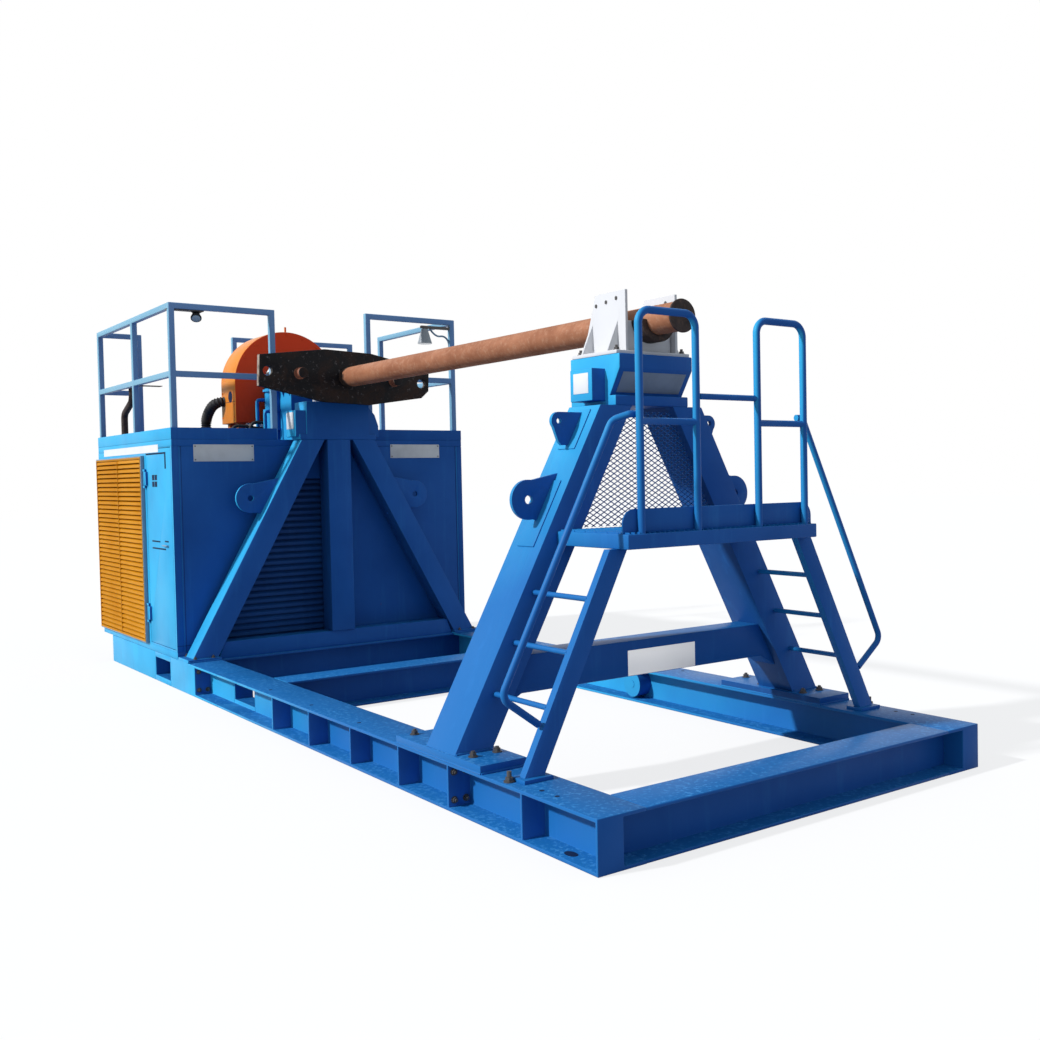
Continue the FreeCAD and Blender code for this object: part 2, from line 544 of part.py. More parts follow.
# The door's knuckles turn on pins that stand between brackets on the wall.
hingeX = f"({doorBack} - partClearance / 2)"
hingeY = f"(-{half} - hingeOffset)"
knuckles = []
knuckleBores = []
hingePins = []
for height in ("doorBottom + hingeInset", "doorBottom + doorHeight - hingeInset - hingeLength"):
    knuckles.append(rod("z", "hingeRadius", "hingeLength", hingeX, hingeY, height))
    knuckles.append(box(hingeX, f"{hingeY} - hingeRadius / 2", height, "hingeLeafLength",
                        "hingeOffset + hingeRadius / 2", "hingeLength"))
    knuckleBores.append(rod("z", "hingePinRadius + runningClearance", "hingeLength + 20", hingeX, hingeY,
                            f"{height} - 10"))
    bracketLow = f"{height} - partClearance - hingeBracketHeight"
    hingePins.append(rod("z", "hingePinRadius", "hingeLength + 2 * (partClearance + hingeBracketHeight)",
                         hingeX, hingeY, bracketLow))
    for low in (bracketLow, f"{height} + hingeLength + partClearance"):
        hingePins.append(box(f"{hingeX} - hingeBracketLength", f"{hingeY} - hingePinRadius", low,
                             "hingeBracketLength", "hingeOffset + hingePinRadius", "hingeBracketHeight"))
nearWall = cut(
    box(back, f"-{half}", wallFoot, "containerLength", "wallThickness", f"{wallTop} - {wallFoot}"),
    box(f"{doorBack} - partClearance", f"-{half} - 10", "doorBottom - partClearance",
        "doorWidth + 2 * partClearance", "doorThickness + partClearance + 10",
        "doorHeight + 2 * partClearance"),
    box(f"{doorBack} + doorSeat", f"-{half} - 10", "doorBottom + doorSeat", "doorWidth - 2 * doorSeat",
        "wallThickness + 20", "doorHeight - 2 * doorSeat"),
    box(louvreBack, f"-{half} - 10", "louvreBottom", "louvreLength", "wallThickness + 20", "louvreHeight"))
keep("container_wall_near", joined(nearWall, *hingePins))
louvreOutside = f"-{half} - louvreReach"
louvreInside = f"(-{half} + louvreThickness - louvreBacking - 20)"
louvreRimmed = cut(
    box(louvreBack, louvreOutside, "louvreBottom", "louvreLength", "louvreThickness + louvreReach - 20",
        "louvreHeight"),
    box(f"{louvreBack} + louvreRim", f"{louvreOutside} - 10", "louvreBottom + louvreRim",
        "louvreLength - 2 * louvreRim", f"{louvreInside} - ({louvreOutside}) + 10",
        "louvreHeight - 2 * louvreRim"))
keep("side_louvre", joined(
    louvreRimmed,
    box(f"{louvreBack} + louvreLength / 2 - louvreSeam / 2", louvreOutside, "louvreBottom + louvreRim",
        "louvreSeam", f"{louvreInside} - ({louvreOutside})", "louvreHeight - 2 * louvreRim"),
    *blades("YZ", f"{louvreBack} + louvreRim", "louvreLength - 2 * louvreRim", louvreInside,
            f"{louvreOutside} + bladeSetback", "louvreBottom + louvreRim",
            "(louvreHeight - 2 * louvreRim) / bladeCount", size("bladeCount"))))
doorLeaf = box(doorBack, f"-{half}", "doorBottom", "doorWidth", "doorThickness", "doorHeight")
keep("side_door", cut(joined(doorLeaf, *knuckles), *knuckleBores))
keep("power_unit", box(f"{back} + powerUnitInset", "-powerUnitWidth / 2", wallFoot,
                       "containerLength - 2 * powerUnitInset", "powerUnitWidth", "powerUnitHeight"))

coaming = "containerTop"
railNearY = f"(-{half} + railInset)"
frontRailX = f"({front} - railInset - railTube)"
rearRailX = f"({back} + railInset)"


def strip(x, y, length, width):
    return box(x, y, coaming, length, width, "coamingHeight")


keep("coaming_near", joined(
    strip(back, f"-{half}", "containerLength", "coamingThickness"),
    strip(f"{front} - coamingThickness", f"-{half}", "coamingThickness", "railNearFrontLength")))
keep("coaming_far", joined(
    strip(back, f"{half} - coamingThickness", "containerLength", "coamingThickness"),
    strip(f"{front} - coamingThickness", f"{half} - railFarFrontLength - 30", "coamingThickness",
          "railFarFrontLength + 30")))


def post(x, y, lift="0"):
    return box(x, y, "containerTop", "railTube", "railTube", f"railHeight + {lift}")


def bars(x, y, length, width, lift="0"):
    """A top rail and a middle rail along one side."""
    rails = [box(x, y, f"containerTop + {height} + {lift} - railTube", length, width, "railTube")
             for height in ("railHeight", "midRailHeight")]
    return rails


farY = f"({half} - farRailInset - railTube)"
keep("rail_near", joined(
    post(frontRailX, railNearY), post(rearRailX, railNearY),
    post(f"{at('railMiddleSetback')} - railTube", railNearY),
    post(frontRailX, f"{railNearY} + railNearFrontLength - railTube"),
    post(rearRailX, f"{railNearY} + railNearRearLength - railTube"),
    *bars(rearRailX, railNearY, f"{frontRailX} - {rearRailX} + railTube", "railTube"),
    *bars(frontRailX, railNearY, "railTube", "railNearFrontLength"),
    *bars(rearRailX, railNearY, "railTube", "railNearRearLength")))
keep("rail_far", joined(
    post(frontRailX, farY, "farRailLift"),
    post(f"{frontRailX} - railFarSideLength + railTube", farY, "farRailLift"),
    post(frontRailX, f"{farY} + railTube - railFarFrontLength", "farRailLift"),
    *bars(f"{frontRailX} - railFarSideLength + railTube", farY, "railFarSideLength", "railTube", "farRailLift"),
    *bars(frontRailX, f"{farY} + railTube - railFarFrontLength", "railTube", "railFarFrontLength",
          "farRailLift")))
keep("rail_rear", joined(
    post(rearRailX, f"{farY} + railTube - railRearFarLength", "farRailLift"),
    post(rearRailX, farY, "farRailLift"),
    *bars(rearRailX, f"{farY} + railTube - railRearFarLength", "railTube", "railRearFarLength",
          "farRailLift")))

# Outboard frame: two box legs with padeyes, a head, a tie beam and foot plates
outFoot = "(beamHeight + outFootPlate)"
outLegFoot = "(baseWidth / 2 - outLegInset)"
outSlope = f"(({outLegFoot} - outLegTop) / (outLegTopHeight - {outFoot}))"
outBack = f"({at('outFrameSetback')} - outFrameDepth)"
for label, side in (("outboard_leg_near", -1), ("outboard_leg_far", 1)):
    corners = eared(side, outLegFoot, "outLegTop", "outLegWidth", outFoot, "outLegTopHeight")
    leg = prism("YZ", corners, outBack, "outFrameDepth")
    footSide = "-baseWidth / 2" if side < 0 else "baseWidth / 2 - flangeWidth"
    foot = box(f"{at('outFootSetback')} - outFootLength", footSide, "beamHeight", "outFootLength",
               "flangeWidth", "outFootPlate")
    eyeBack = f"({outBack} + (outFrameDepth - padeyeThickness) / 2)"
    edges = [f"(outLegTop + {outSlope} * (outLegTopHeight - {height}))"
             for height in ("upperPadeyeHeight", "lowerPadeyeHeight")]
    upper, upperHole = upperPadeye(side, edges[0], eyeBack)
    lower, lowerHole = padeye(side, edges[1], "lowerPadeyeHeight", "lowerPadeyeSize", "lowerPadeyeReach",
                              eyeBack, "padeyeHoleRadius")
    keep(label, cut(joined(leg, foot, upper, lower), upperHole, lowerHole))

headFront = at("outHeadSetback")
headBack = f"({headFront} - outHeadDepth)"
# The head overhangs the legs, with a slanting front that ends on a small ledge.
keep("outboard_head", joined(
    prism("XZ", [(headFront, "outHeadTop"), (headBack, "outHeadTop"), (headBack, "outLegTopHeight"),
                 (at("outFrameSetback"), "outLegTopHeight"), (at("outFrameSetback"), "outHeadLedge"),
                 (f"{headFront} - outHeadSlant", "outHeadLedge"), (headFront, "outHeadTop - outHeadBand")],
          "-outHeadHalfWidth", "2 * outHeadHalfWidth"),
    box(f"{at('lugBoxSetback')} - lugBoxLength", "-outHeadHalfWidth - lugBoxReach", "lugBoxBottom",
        "lugBoxLength", "lugBoxReach", "lugBoxHeight")))
tieBack = f"({outBack} + (outFrameDepth - tieDepth) / 2)"
haunchLow = f"({outLegFoot} - outLegWidth - {outSlope} * (tieBottom - haunchDrop - {outFoot}))"
tieLow = f"({outLegFoot} - outLegWidth - {outSlope} * (tieBottom - {outFoot}))"
tieHigh = f"({outLegFoot} - outLegWidth - {outSlope} * (tieBottom + tieHeight - {outFoot}))"
keep("outboard_tie_beam", prism("YZ", [(f"-{haunchLow}", "tieBottom - haunchDrop"),
                                       (f"haunchReach - {tieLow}", "tieBottom"),
                                       (f"{tieLow} - haunchReach", "tieBottom"),
                                       (haunchLow, "tieBottom - haunchDrop"),
                                       (tieHigh, "tieBottom + tieHeight"),
                                       (f"-{tieHigh}", "tieBottom + tieHeight")],
                                tieBack, "tieDepth"))

# Outboard bearing: a foot plate with cheeks and gussets, an open saddle and a half shell in front of it
seatTop = "(outHeadTop + bearingPlateThickness)"
cheekFront = at("cheekSetback")
cheekTop = "(shaftHeight + cheekTopReach)"
footPieces = [box(f"{at('bearingPlateSetback')} - bearingPlateLength", "-bearingPlateWidth / 2", "outHeadTop",
                  "bearingPlateLength", "bearingPlateWidth", "bearingPlateThickness")]
for side in (-1, 1):
    low = "-cheekHalfWidth - cheekThickness" if side < 0 else "cheekHalfWidth"
    footPieces.append(prism("XZ", [(f"{cheekFront} - cheekLength", seatTop), (cheekFront, seatTop),
                                   (cheekFront, cheekTop), (f"{cheekFront} - cheekTopLength", cheekTop)],
                            f"-({low}) - cheekThickness", "cheekThickness"))
    root = f"{side} * (cheekHalfWidth + cheekThickness)"
    for step in range(2):
        gusset = [(root, seatTop), (f"{side} * bearingPlateWidth / 2", seatTop), (root, "shaftHeight")]
        footPieces.append(prism("YZ", gusset, f"{at('gussetSetback')} - {step} * gussetPitch - gussetThickness",
                                "gussetThickness"))
keep("bearing_foot", joined(*footPieces))
saddleBack = f"({at('saddleSetback')} - saddleLength)"
keep("bearing_housing", cut(
    box(saddleBack, "-saddleHalfWidth", seatTop, "saddleLength", "2 * saddleHalfWidth",
        f"shaftHeight - {seatTop}"),
    rod("x", "shaftRadius + runningClearance", "saddleLength + 20", f"{saddleBack} - 10", "0", "shaftHeight")))
shellBack = at("saddleSetback")
keep("bearing_shell", cut(
    rod("x", "shellRadius", "shellLength", shellBack, "0", "shaftHeight"),
    box(f"{shellBack} - 10", "-shellRadius - 10", "shaftHeight", "shellLength + 20", "2 * shellRadius + 20",
        "shellRadius + 10"),
    rod("x", "shaftRadius + runningClearance", "shellLength + 20", f"{shellBack} - 10", "0", "shaftHeight")))

# Access platform in front of the outboard frame
platformFront = at("platformSetback")
platformBack = at("outFrameSetback")
keep("platform_floor", box(platformBack, "-platformHalfWidth", "platformTop - platformThickness",
                           f"{platformFront} - {platformBack}", "2 * platformHalfWidth", "platformThickness"))
# The hoops stand at the platform's front edge and the toe board is fixed behind their posts.
toe = doc.addObject("Part::Fillet", "Rounded")
toeBlank = box(f"{platformFront} - hoopInset - hoopTube - toeThickness", "-platformHalfWidth", "platformTop",
               "toeThickness", "2 * platformHalfWidth", "toeHeight")
doc.recompute()
toe.Base = toeBlank
corners = [index for index, edge in enumerate(toeBlank.Shape.Edges, start=1)
           if edge.BoundBox.XLength > size("toeThickness") - 1 and edge.BoundBox.ZMax > size("platformTop") + 50
           and edge.BoundBox.YLength < 1]
toe.Edges = [(index, size("toeRadius"), size("toeRadius")) for index in corners]
keep("toe_board", toe)

tubeRadius = size("hoopTube") / 2
hoopX = originSetback - size("platformSetback") - size("hoopInset") - tubeRadius
floorTop = size("platformTop")


def hoop(label, low, high):
    """A rounded hoop with one middle bar, standing on the platform edge."""
    top = floorTop + size("hoopHeight") - tubeRadius
    loop = tube([(hoopX, low, floorTop), (hoopX, low, top), (hoopX, high, top), (hoopX, high, floorTop)],
                [size("hoopBend")] * 2, tubeRadius)
    start = FreeCAD.Vector(hoopX, low, floorTop + size("hoopMiddle"))
    middle = Part.makeCylinder(tubeRadius * 0.9, high - low, start, FreeCAD.Vector(0, 1, 0))
    keep(label, shaped(loop.fuse(middle).removeSplitter()))


hoop("hoop_near", -size("hoopOuterPost"), -size("hoopInnerPost"))
hoop("hoop_far", size("farHoopInner"), size("farHoopOuter"))
barLow = -size("hoopInnerPost") + tubeRadius + 0.3
barHigh = size("farHoopInner") - tubeRadius - 0.3
keep("hoop_cross_bar", shaped(Part.makeCylinder(
    tubeRadius * 0.8, barHigh - barLow, FreeCAD.Vector(hoopX, barLow, floorTop + size("crossBarHeight")),
    FreeCAD.Vector(0, 1, 0))))

# Side ladders: rungs between the leg's front face and one outer stringer
stringerBack = f"({at('stringerSetback')} - stringerDepth)"
stringerHead = "(platformTop - platformThickness)"
stringerBase = "(beamHeight + stringerPlate)"
stringerFoot = "(baseWidth / 2 - stringerInset)"
stringerSlope = f"(({stringerFoot} - stringerTop) / ({stringerHead} - {stringerBase}))"
for label, side in (("ladder_near", -1), ("ladder_far", 1)):
    corners = eared(side, f"{stringerFoot} + stringerWidth / 2", "stringerTop + stringerWidth / 2",
                    "stringerWidth", stringerBase, stringerHead)
    stringer = prism("YZ", corners, stringerBack, "stringerDepth")
    pieces = [stringer, box(f"{stringerBack} - 40", f"{side} * {stringerFoot} - 85", "beamHeight",
                            "stringerDepth + 80", "170", "stringerPlate")]
    for step in range(3):
        height = f"(rungFirst - {step} * rungPitch)"
        across = f"{side} * (stringerTop + rungShift + {stringerSlope} * ({stringerHead} - {height}))"
        pieces.append(rod("x", "rungRadius", f"{stringerBack} - {platformBack} + 5", platformBack, across,
                          height))
    keep(label, joined(*pieces))

railX = hoopX - tubeRadius - size("handrailTube") / 2 - 0.3
ladderX = originSetback - size("stringerSetback") - size("stringerDepth") / 2
ladderTop = floorTop - size("platformThickness")
footY = size("baseWidth") / 2 - size("stringerInset")
endShare = (ladderTop - size("handrailEndHeight")) / (ladderTop - size("beamHeight") - size("stringerPlate"))
endY = size("stringerTop") + (footY - size("stringerTop")) * endShare + size("stringerWidth") / 2
endY += size("handrailTube") / 2 + 3
for label, side, postY in (("handrail_near", -1, size("hoopOuterPost")),
                           ("handrail_far", 1, size("farHoopOuter"))):
    keep(label, shaped(tube(
        [(railX, side * (postY - 20), size("handrailStart")),
         (railX, side * (postY + 35), size("handrailStart")),
         (ladderX, side * (postY + size("handrailStep")), size("handrailStart") - size("handrailDrop")),
         (ladderX, side * size("handrailReach"), size("handrailLow")),
         (ladderX, side * endY, size("handrailEndHeight"))],
        [30, 70, 60], size("handrailTube") / 2)))

# Expanded metal guard between the legs, above the platform
meshLow = "(platformTop + meshBottomGap)"
meshTop = "(outLegTopHeight - 30)"
innerLow = f"({outLegFoot} - outLegWidth - {outSlope} * ({meshLow} - {outFoot}) - 1)"
innerHigh = f"({outLegFoot} - outLegWidth - {outSlope} * ({meshTop} - {outFoot}) - 1)"
keep("mesh_guard", prism("YZ", [(f"-{innerLow}", meshLow), (innerLow, meshLow), (innerHigh, meshTop),
                                (f"-{innerHigh}", meshTop)],
                         f"{at('outFrameSetback')} - 60", "meshThickness"))

doc.recompute()
for item in doc.Objects:
    if "Invalid" in item.State or "Error" in item.State:
        raise RuntimeError(f"{item.Name} {item.Label} did not build: {item.State}")
for label, item in nodes.items():
    if item.Shape.isNull() or not item.Shape.isValid():
        raise RuntimeError(f"{label} has no valid shape")
for label, item in nodes.items():
    item.Shape.exportStep(f"parts/{label}.step")
    bounds = item.Shape.BoundBox
    print(f"{label:22s} solids {len(item.Shape.Solids)} volume {item.Shape.Volume / 1e9:8.4f} "
          f"x {bounds.XMin:8.1f} {bounds.XMax:8.1f} y {bounds.YMin:8.1f} {bounds.YMax:8.1f} "
          f"z {bounds.ZMin:8.1f} {bounds.ZMax:8.1f}")
print(len(nodes), "sub-parts")
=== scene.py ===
import bmesh
import bpy
import json
import math
from mathutils import Matrix, Vector

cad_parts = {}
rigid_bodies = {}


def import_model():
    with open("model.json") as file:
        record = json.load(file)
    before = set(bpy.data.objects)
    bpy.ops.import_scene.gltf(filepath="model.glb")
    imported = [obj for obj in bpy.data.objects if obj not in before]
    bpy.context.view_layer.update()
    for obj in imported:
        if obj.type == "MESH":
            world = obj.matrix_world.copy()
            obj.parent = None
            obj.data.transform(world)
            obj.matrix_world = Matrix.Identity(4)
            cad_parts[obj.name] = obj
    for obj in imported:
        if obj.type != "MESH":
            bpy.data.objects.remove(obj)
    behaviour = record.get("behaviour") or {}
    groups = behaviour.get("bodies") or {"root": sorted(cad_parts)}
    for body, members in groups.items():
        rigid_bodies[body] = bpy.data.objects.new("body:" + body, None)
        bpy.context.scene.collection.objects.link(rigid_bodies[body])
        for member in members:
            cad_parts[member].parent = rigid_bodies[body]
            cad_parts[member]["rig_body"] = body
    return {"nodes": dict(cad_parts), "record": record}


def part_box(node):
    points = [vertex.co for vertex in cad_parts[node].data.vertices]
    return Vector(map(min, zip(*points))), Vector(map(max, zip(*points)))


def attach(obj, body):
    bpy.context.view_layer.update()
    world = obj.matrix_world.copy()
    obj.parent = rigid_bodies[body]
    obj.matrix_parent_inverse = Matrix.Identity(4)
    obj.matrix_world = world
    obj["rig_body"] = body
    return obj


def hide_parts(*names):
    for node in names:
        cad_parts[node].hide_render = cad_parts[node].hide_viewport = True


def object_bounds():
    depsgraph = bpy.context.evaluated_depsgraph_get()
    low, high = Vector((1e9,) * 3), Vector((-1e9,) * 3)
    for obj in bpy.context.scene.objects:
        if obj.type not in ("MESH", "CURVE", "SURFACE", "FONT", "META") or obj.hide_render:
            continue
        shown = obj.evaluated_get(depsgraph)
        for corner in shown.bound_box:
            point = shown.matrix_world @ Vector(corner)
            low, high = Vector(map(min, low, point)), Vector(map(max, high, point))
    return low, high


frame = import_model()
cadLow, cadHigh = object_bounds()
scene = bpy.context.scene
print("loaded", len(frame["nodes"]), "nodes")

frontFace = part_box("end_beam_front")[1].x


# Metres along the shaft, from a setback behind the front end beam's outer face
def at(setback):
    return frontFace - setback


# Materials

def newMaterial(name, roughness, metallic=0.0, specular=0.5):
    material = bpy.data.materials.new(name)
    material.use_nodes = True
    tree = material.node_tree
    shader = tree.nodes["Principled BSDF"]
    shader.inputs["Roughness"].default_value = roughness
    shader.inputs["Metallic"].default_value = metallic
    shader.inputs["Specular IOR Level"].default_value = specular
    return material, tree, shader


def addNode(tree, kind, **settings):
    node = tree.nodes.new(kind)
    for key, value in settings.items():
        setattr(node, key, value)
    return node


def noise(tree, place, scale, detail=4.0, roughness=0.55, distortion=0.0):
    node = addNode(tree, "ShaderNodeTexNoise")
    node.inputs["Scale"].default_value = scale
    node.inputs["Detail"].default_value = detail
    node.inputs["Roughness"].default_value = roughness
    node.inputs["Distortion"].default_value = distortion
    tree.links.new(place, node.inputs["Vector"])
    return node.outputs["Fac"]


def objectPlace(tree, stretch=(1, 1, 1)):
    coordinates = addNode(tree, "ShaderNodeTexCoord")
    mapping = addNode(tree, "ShaderNodeMapping")
    mapping.inputs["Scale"].default_value = stretch
    tree.links.new(coordinates.outputs["Object"], mapping.inputs["Vector"])
    return mapping.outputs["Vector"]


def splitAxes(tree, output):
    coordinates = addNode(tree, "ShaderNodeTexCoord")
    split = addNode(tree, "ShaderNodeSeparateXYZ")
    tree.links.new(coordinates.outputs[output], split.inputs["Vector"])
    return split.outputs


def ramp(tree, value, low, high, start=0.0, end=1.0):
    node = addNode(tree, "ShaderNodeMapRange")
    node.inputs["From Min"].default_value = low
    node.inputs["From Max"].default_value = high
    node.inputs["To Min"].default_value = start
    node.inputs["To Max"].default_value = end
    tree.links.new(value, node.inputs["Value"])
    return node.outputs["Result"]


def combine(tree, operation, first, second):
    node = addNode(tree, "ShaderNodeMath", operation=operation)
    for socket, value in zip(node.inputs, (first, second)):
        if isinstance(value, (int, float)):
            socket.default_value = value
        else:
            tree.links.new(value, socket)
    return node.outputs["Value"]


def mixColour(tree, share, first, second):
    node = addNode(tree, "ShaderNodeMix", data_type="RGBA")
    tree.links.new(share, node.inputs["Factor"])
    sockets = [socket for socket in node.inputs if socket.type == "RGBA"]
    for socket, value in zip(sockets, (first, second)):
        if isinstance(value, tuple):
            socket.default_value = (*value, 1.0)
        else:
            tree.links.new(value, socket)
    return [socket for socket in node.outputs if socket.type == "RGBA"][0]


def bump(tree, shader, height, strength, distance):
    node = addNode(tree, "ShaderNodeBump")
    node.inputs["Strength"].default_value = strength
    node.inputs["Distance"].default_value = distance
    tree.links.new(height, node.inputs["Height"])
    tree.links.new(node.outputs["Normal"], shader.inputs["Normal"])


# A mask of the faces that look along an axis of the object, such as -Y or Z
def facing(tree, axis, low, high):
    value = splitAxes(tree, "Normal")[axis[-1]]
    if axis[0] == "-":
        value = combine(tree, "MULTIPLY", value, -1.0)
    return ramp(tree, value, low, high)


paint = {"gloss": 0.44, "glossRange": (-0.06, 0.1), "specular": 0.12, "grain": 55.0, "relief": (0.14, 0.002),
         "cloud": 1.3, "cloudEdges": (0.35, 0.7), "topEdges": (0.3, 0.9), "sunEdges": (0.3, 0.85),
         "patch": 2.1, "patchEdges": (0.3, 0.62), "patchShares": (0.8, 1.0),
         "streak": 1.6, "streakStretch": (7.0, 7.0, 0.7), "streakEdges": (0.56, 0.74), "streakShare": 0.25,
         "drop": 38.0, "dropEdges": (0.52, 0.64), "dropFacing": (0.75, 0.95), "paintedWetGlint": (0.06, 0.28, 0.62),
         "pool": 3.2, "poolEdges": (0.42, 0.62), "poolShares": (0.5, 1.0), "wetGrain": 0.3,
         "chip": 9.0, "chipEdges": (0.735, 0.75), "rust": (0.10, 0.03, 0.012),
         "fadeAndSunAcross": 0.6, "fadeAndSunUp": 1.45, "fadeAndSunEnds": (-0.2, 2.0)}


# Painted sunlight on the -Y faces, with some real sun fade: most at the container and at the heads, none at
# the front of the base, which lies in shade
def fadeAndSunMask(tree):
    place = splitAxes(tree, "Object")
    across = combine(tree, "MULTIPLY", place["Y"], paint["fadeAndSunAcross"])
    up = combine(tree, "MULTIPLY", place["Z"], paint["fadeAndSunUp"])
    value = combine(tree, "SUBTRACT", combine(tree, "SUBTRACT", place["X"], across), up)
    return ramp(tree, value, *paint["fadeAndSunEnds"], 1.0, 0.0)


# Brushed paint: clouded and streaked, with painted light in its own colour on top faces, and painted
# sunlight and shade on its -Y faces, where the sun has also faded it
def makePaint(name, colour, deep, dusty, top=None, sideLightAndShade=None, fadedAndSunlitSide=None, wet=0.0, chips=0.0,
              roughness=paint["gloss"]):
    material, tree, shader = newMaterial(name, roughness, specular=paint["specular"])
    place = objectPlace(tree)
    clouds = ramp(tree, noise(tree, place, paint["cloud"], 5.0), *paint["cloudEdges"])
    finish = mixColour(tree, clouds, colour, deep)
    # Painted light: top faces take their own colour for the light that falls on them
    if top:
        finish = mixColour(tree, facing(tree, "Z", *paint["topEdges"]), finish, top)
    # Painted sunlight and shade on the -Y faces, from the front's side colour to the rear's faded, sunlit
    # one
    if sideLightAndShade:
        sideLightColour = mixColour(tree, fadeAndSunMask(tree), sideLightAndShade, fadedAndSunlitSide) if fadedAndSunlitSide else sideLightAndShade
        patches = ramp(tree, noise(tree, place, paint["patch"]), *paint["patchEdges"], *paint["patchShares"])
        share = combine(tree, "MULTIPLY", facing(tree, "-Y", *paint["sunEdges"]), patches)
        finish = mixColour(tree, share, finish, sideLightColour)
    streaks = noise(tree, objectPlace(tree, paint["streakStretch"]), paint["streak"], 5.0, 0.6)
    streaks = ramp(tree, streaks, *paint["streakEdges"], 0.0, paint["streakShare"])
    finish = mixColour(tree, streaks, finish, dusty)
    height = noise(tree, place, paint["grain"], 2.0)
    # Water drops on top faces, with painted highlights where they glint
    if wet:
        drops = ramp(tree, noise(tree, place, paint["drop"], 3.0, 0.6), *paint["dropEdges"])
        drops = combine(tree, "MULTIPLY", drops, facing(tree, "Z", *paint["dropFacing"]))
        pools = ramp(tree, noise(tree, place, paint["pool"]), *paint["poolEdges"], *paint["poolShares"])
        pools = combine(tree, "MULTIPLY", pools, drops)
        finish = mixColour(tree, combine(tree, "MULTIPLY", pools, wet), finish, paint["paintedWetGlint"])
        height = combine(tree, "ADD", combine(tree, "MULTIPLY", height, paint["wetGrain"]), pools)
    if chips:
        spots = ramp(tree, noise(tree, place, paint["chip"], 6.0, 0.7), *paint["chipEdges"], 0.0, chips)
        finish = mixColour(tree, spots, finish, paint["rust"])
    tree.links.new(finish, shader.inputs["Base Color"])
    glossiest, dullest = (roughness + change for change in paint["glossRange"])
    tree.links.new(ramp(tree, clouds, 0.0, 1.0, glossiest, dullest), shader.inputs["Roughness"])
    bump(tree, shader, height, *paint["relief"])
    return material


rust = {"roughness": 0.66, "metallic": 0.1, "specular": 0.3, "cloud": 3.0, "cloudStretch": (1.4, 2.0, 2.0),
        "cloudEdges": (0.38, 0.66), "pale": 30.0, "paleEdges": (0.5, 0.72), "paleShare": 0.6,
        "pit": 75.0, "pitEdges": (0.58, 0.7), "pitShare": 0.5, "tar": (0.014, 0.012, 0.012),
        "tarShare": 0.94, "ragged": 5.0, "raggedEdges": (0.3, 0.7), "raggedReach": 0.12,
        "roughEdges": (0.3, 0.7), "roughRange": (0.55, 0.78), "grain": 70.0, "relief": (0.3, 0.003)}


# Bare steel with brown rust; the shaft also has tar over its first stretch beside the arm
def makeRust(name, colour, dark, pale, tarEnd=None):
    material, tree, shader = newMaterial(name, rust["roughness"], rust["metallic"], rust["specular"])
    place = objectPlace(tree)
    clouds = noise(tree, objectPlace(tree, rust["cloudStretch"]), rust["cloud"], 6.0, 0.62)
    finish = mixColour(tree, ramp(tree, clouds, *rust["cloudEdges"]), colour, dark)
    bloom = noise(tree, place, rust["pale"], 5.0, 0.7)
    bloom = ramp(tree, bloom, *rust["paleEdges"], 0.0, rust["paleShare"])
    finish = mixColour(tree, bloom, finish, pale)
    pits = noise(tree, place, rust["pit"], 3.0, 0.6)
    pits = ramp(tree, pits, *rust["pitEdges"], 0.0, rust["pitShare"])
    finish = mixColour(tree, pits, finish, dark)
    if tarEnd:
        reach = rust["raggedReach"]
        wander = ramp(tree, noise(tree, place, rust["ragged"], 6.0), *rust["raggedEdges"], -reach, reach)
        along = combine(tree, "ADD", splitAxes(tree, "Object")["X"], wander)
        finish = mixColour(tree, ramp(tree, along, *tarEnd, rust["tarShare"], 0.0), finish, rust["tar"])
    tree.links.new(finish, shader.inputs["Base Color"])
    tree.links.new(ramp(tree, clouds, *rust["roughEdges"], *rust["roughRange"]), shader.inputs["Roughness"])
    bump(tree, shader, noise(tree, place, rust["grain"], 5.0, 0.7), *rust["relief"])
    return material


tar = {"roughness": 0.5, "roughRange": (0.42, 0.7), "specular": 0.12, "blot": 4.2, "blotEdges": (0.48, 0.7),
       "blotShare": 0.85, "speck": 34.0, "speckEdges": (0.6, 0.68), "speckShare": 0.55,
       "speckColour": (0.17, 0.15, 0.15), "scratch": 8.0, "scratchStretch": (1.0, 3.0, 9.0),
       "scratchEdges": (0.63, 0.7), "scratchShare": 0.4, "scratchColour": (0.11, 0.12, 0.15),
       "paleSidePatchesFacing": (0.7, 0.95), "paleSidePatches": 9.0, "paleSidePatchesEdges": (0.3, 0.5), "grain": 22.0,
       "relief": (0.5, 0.008)}


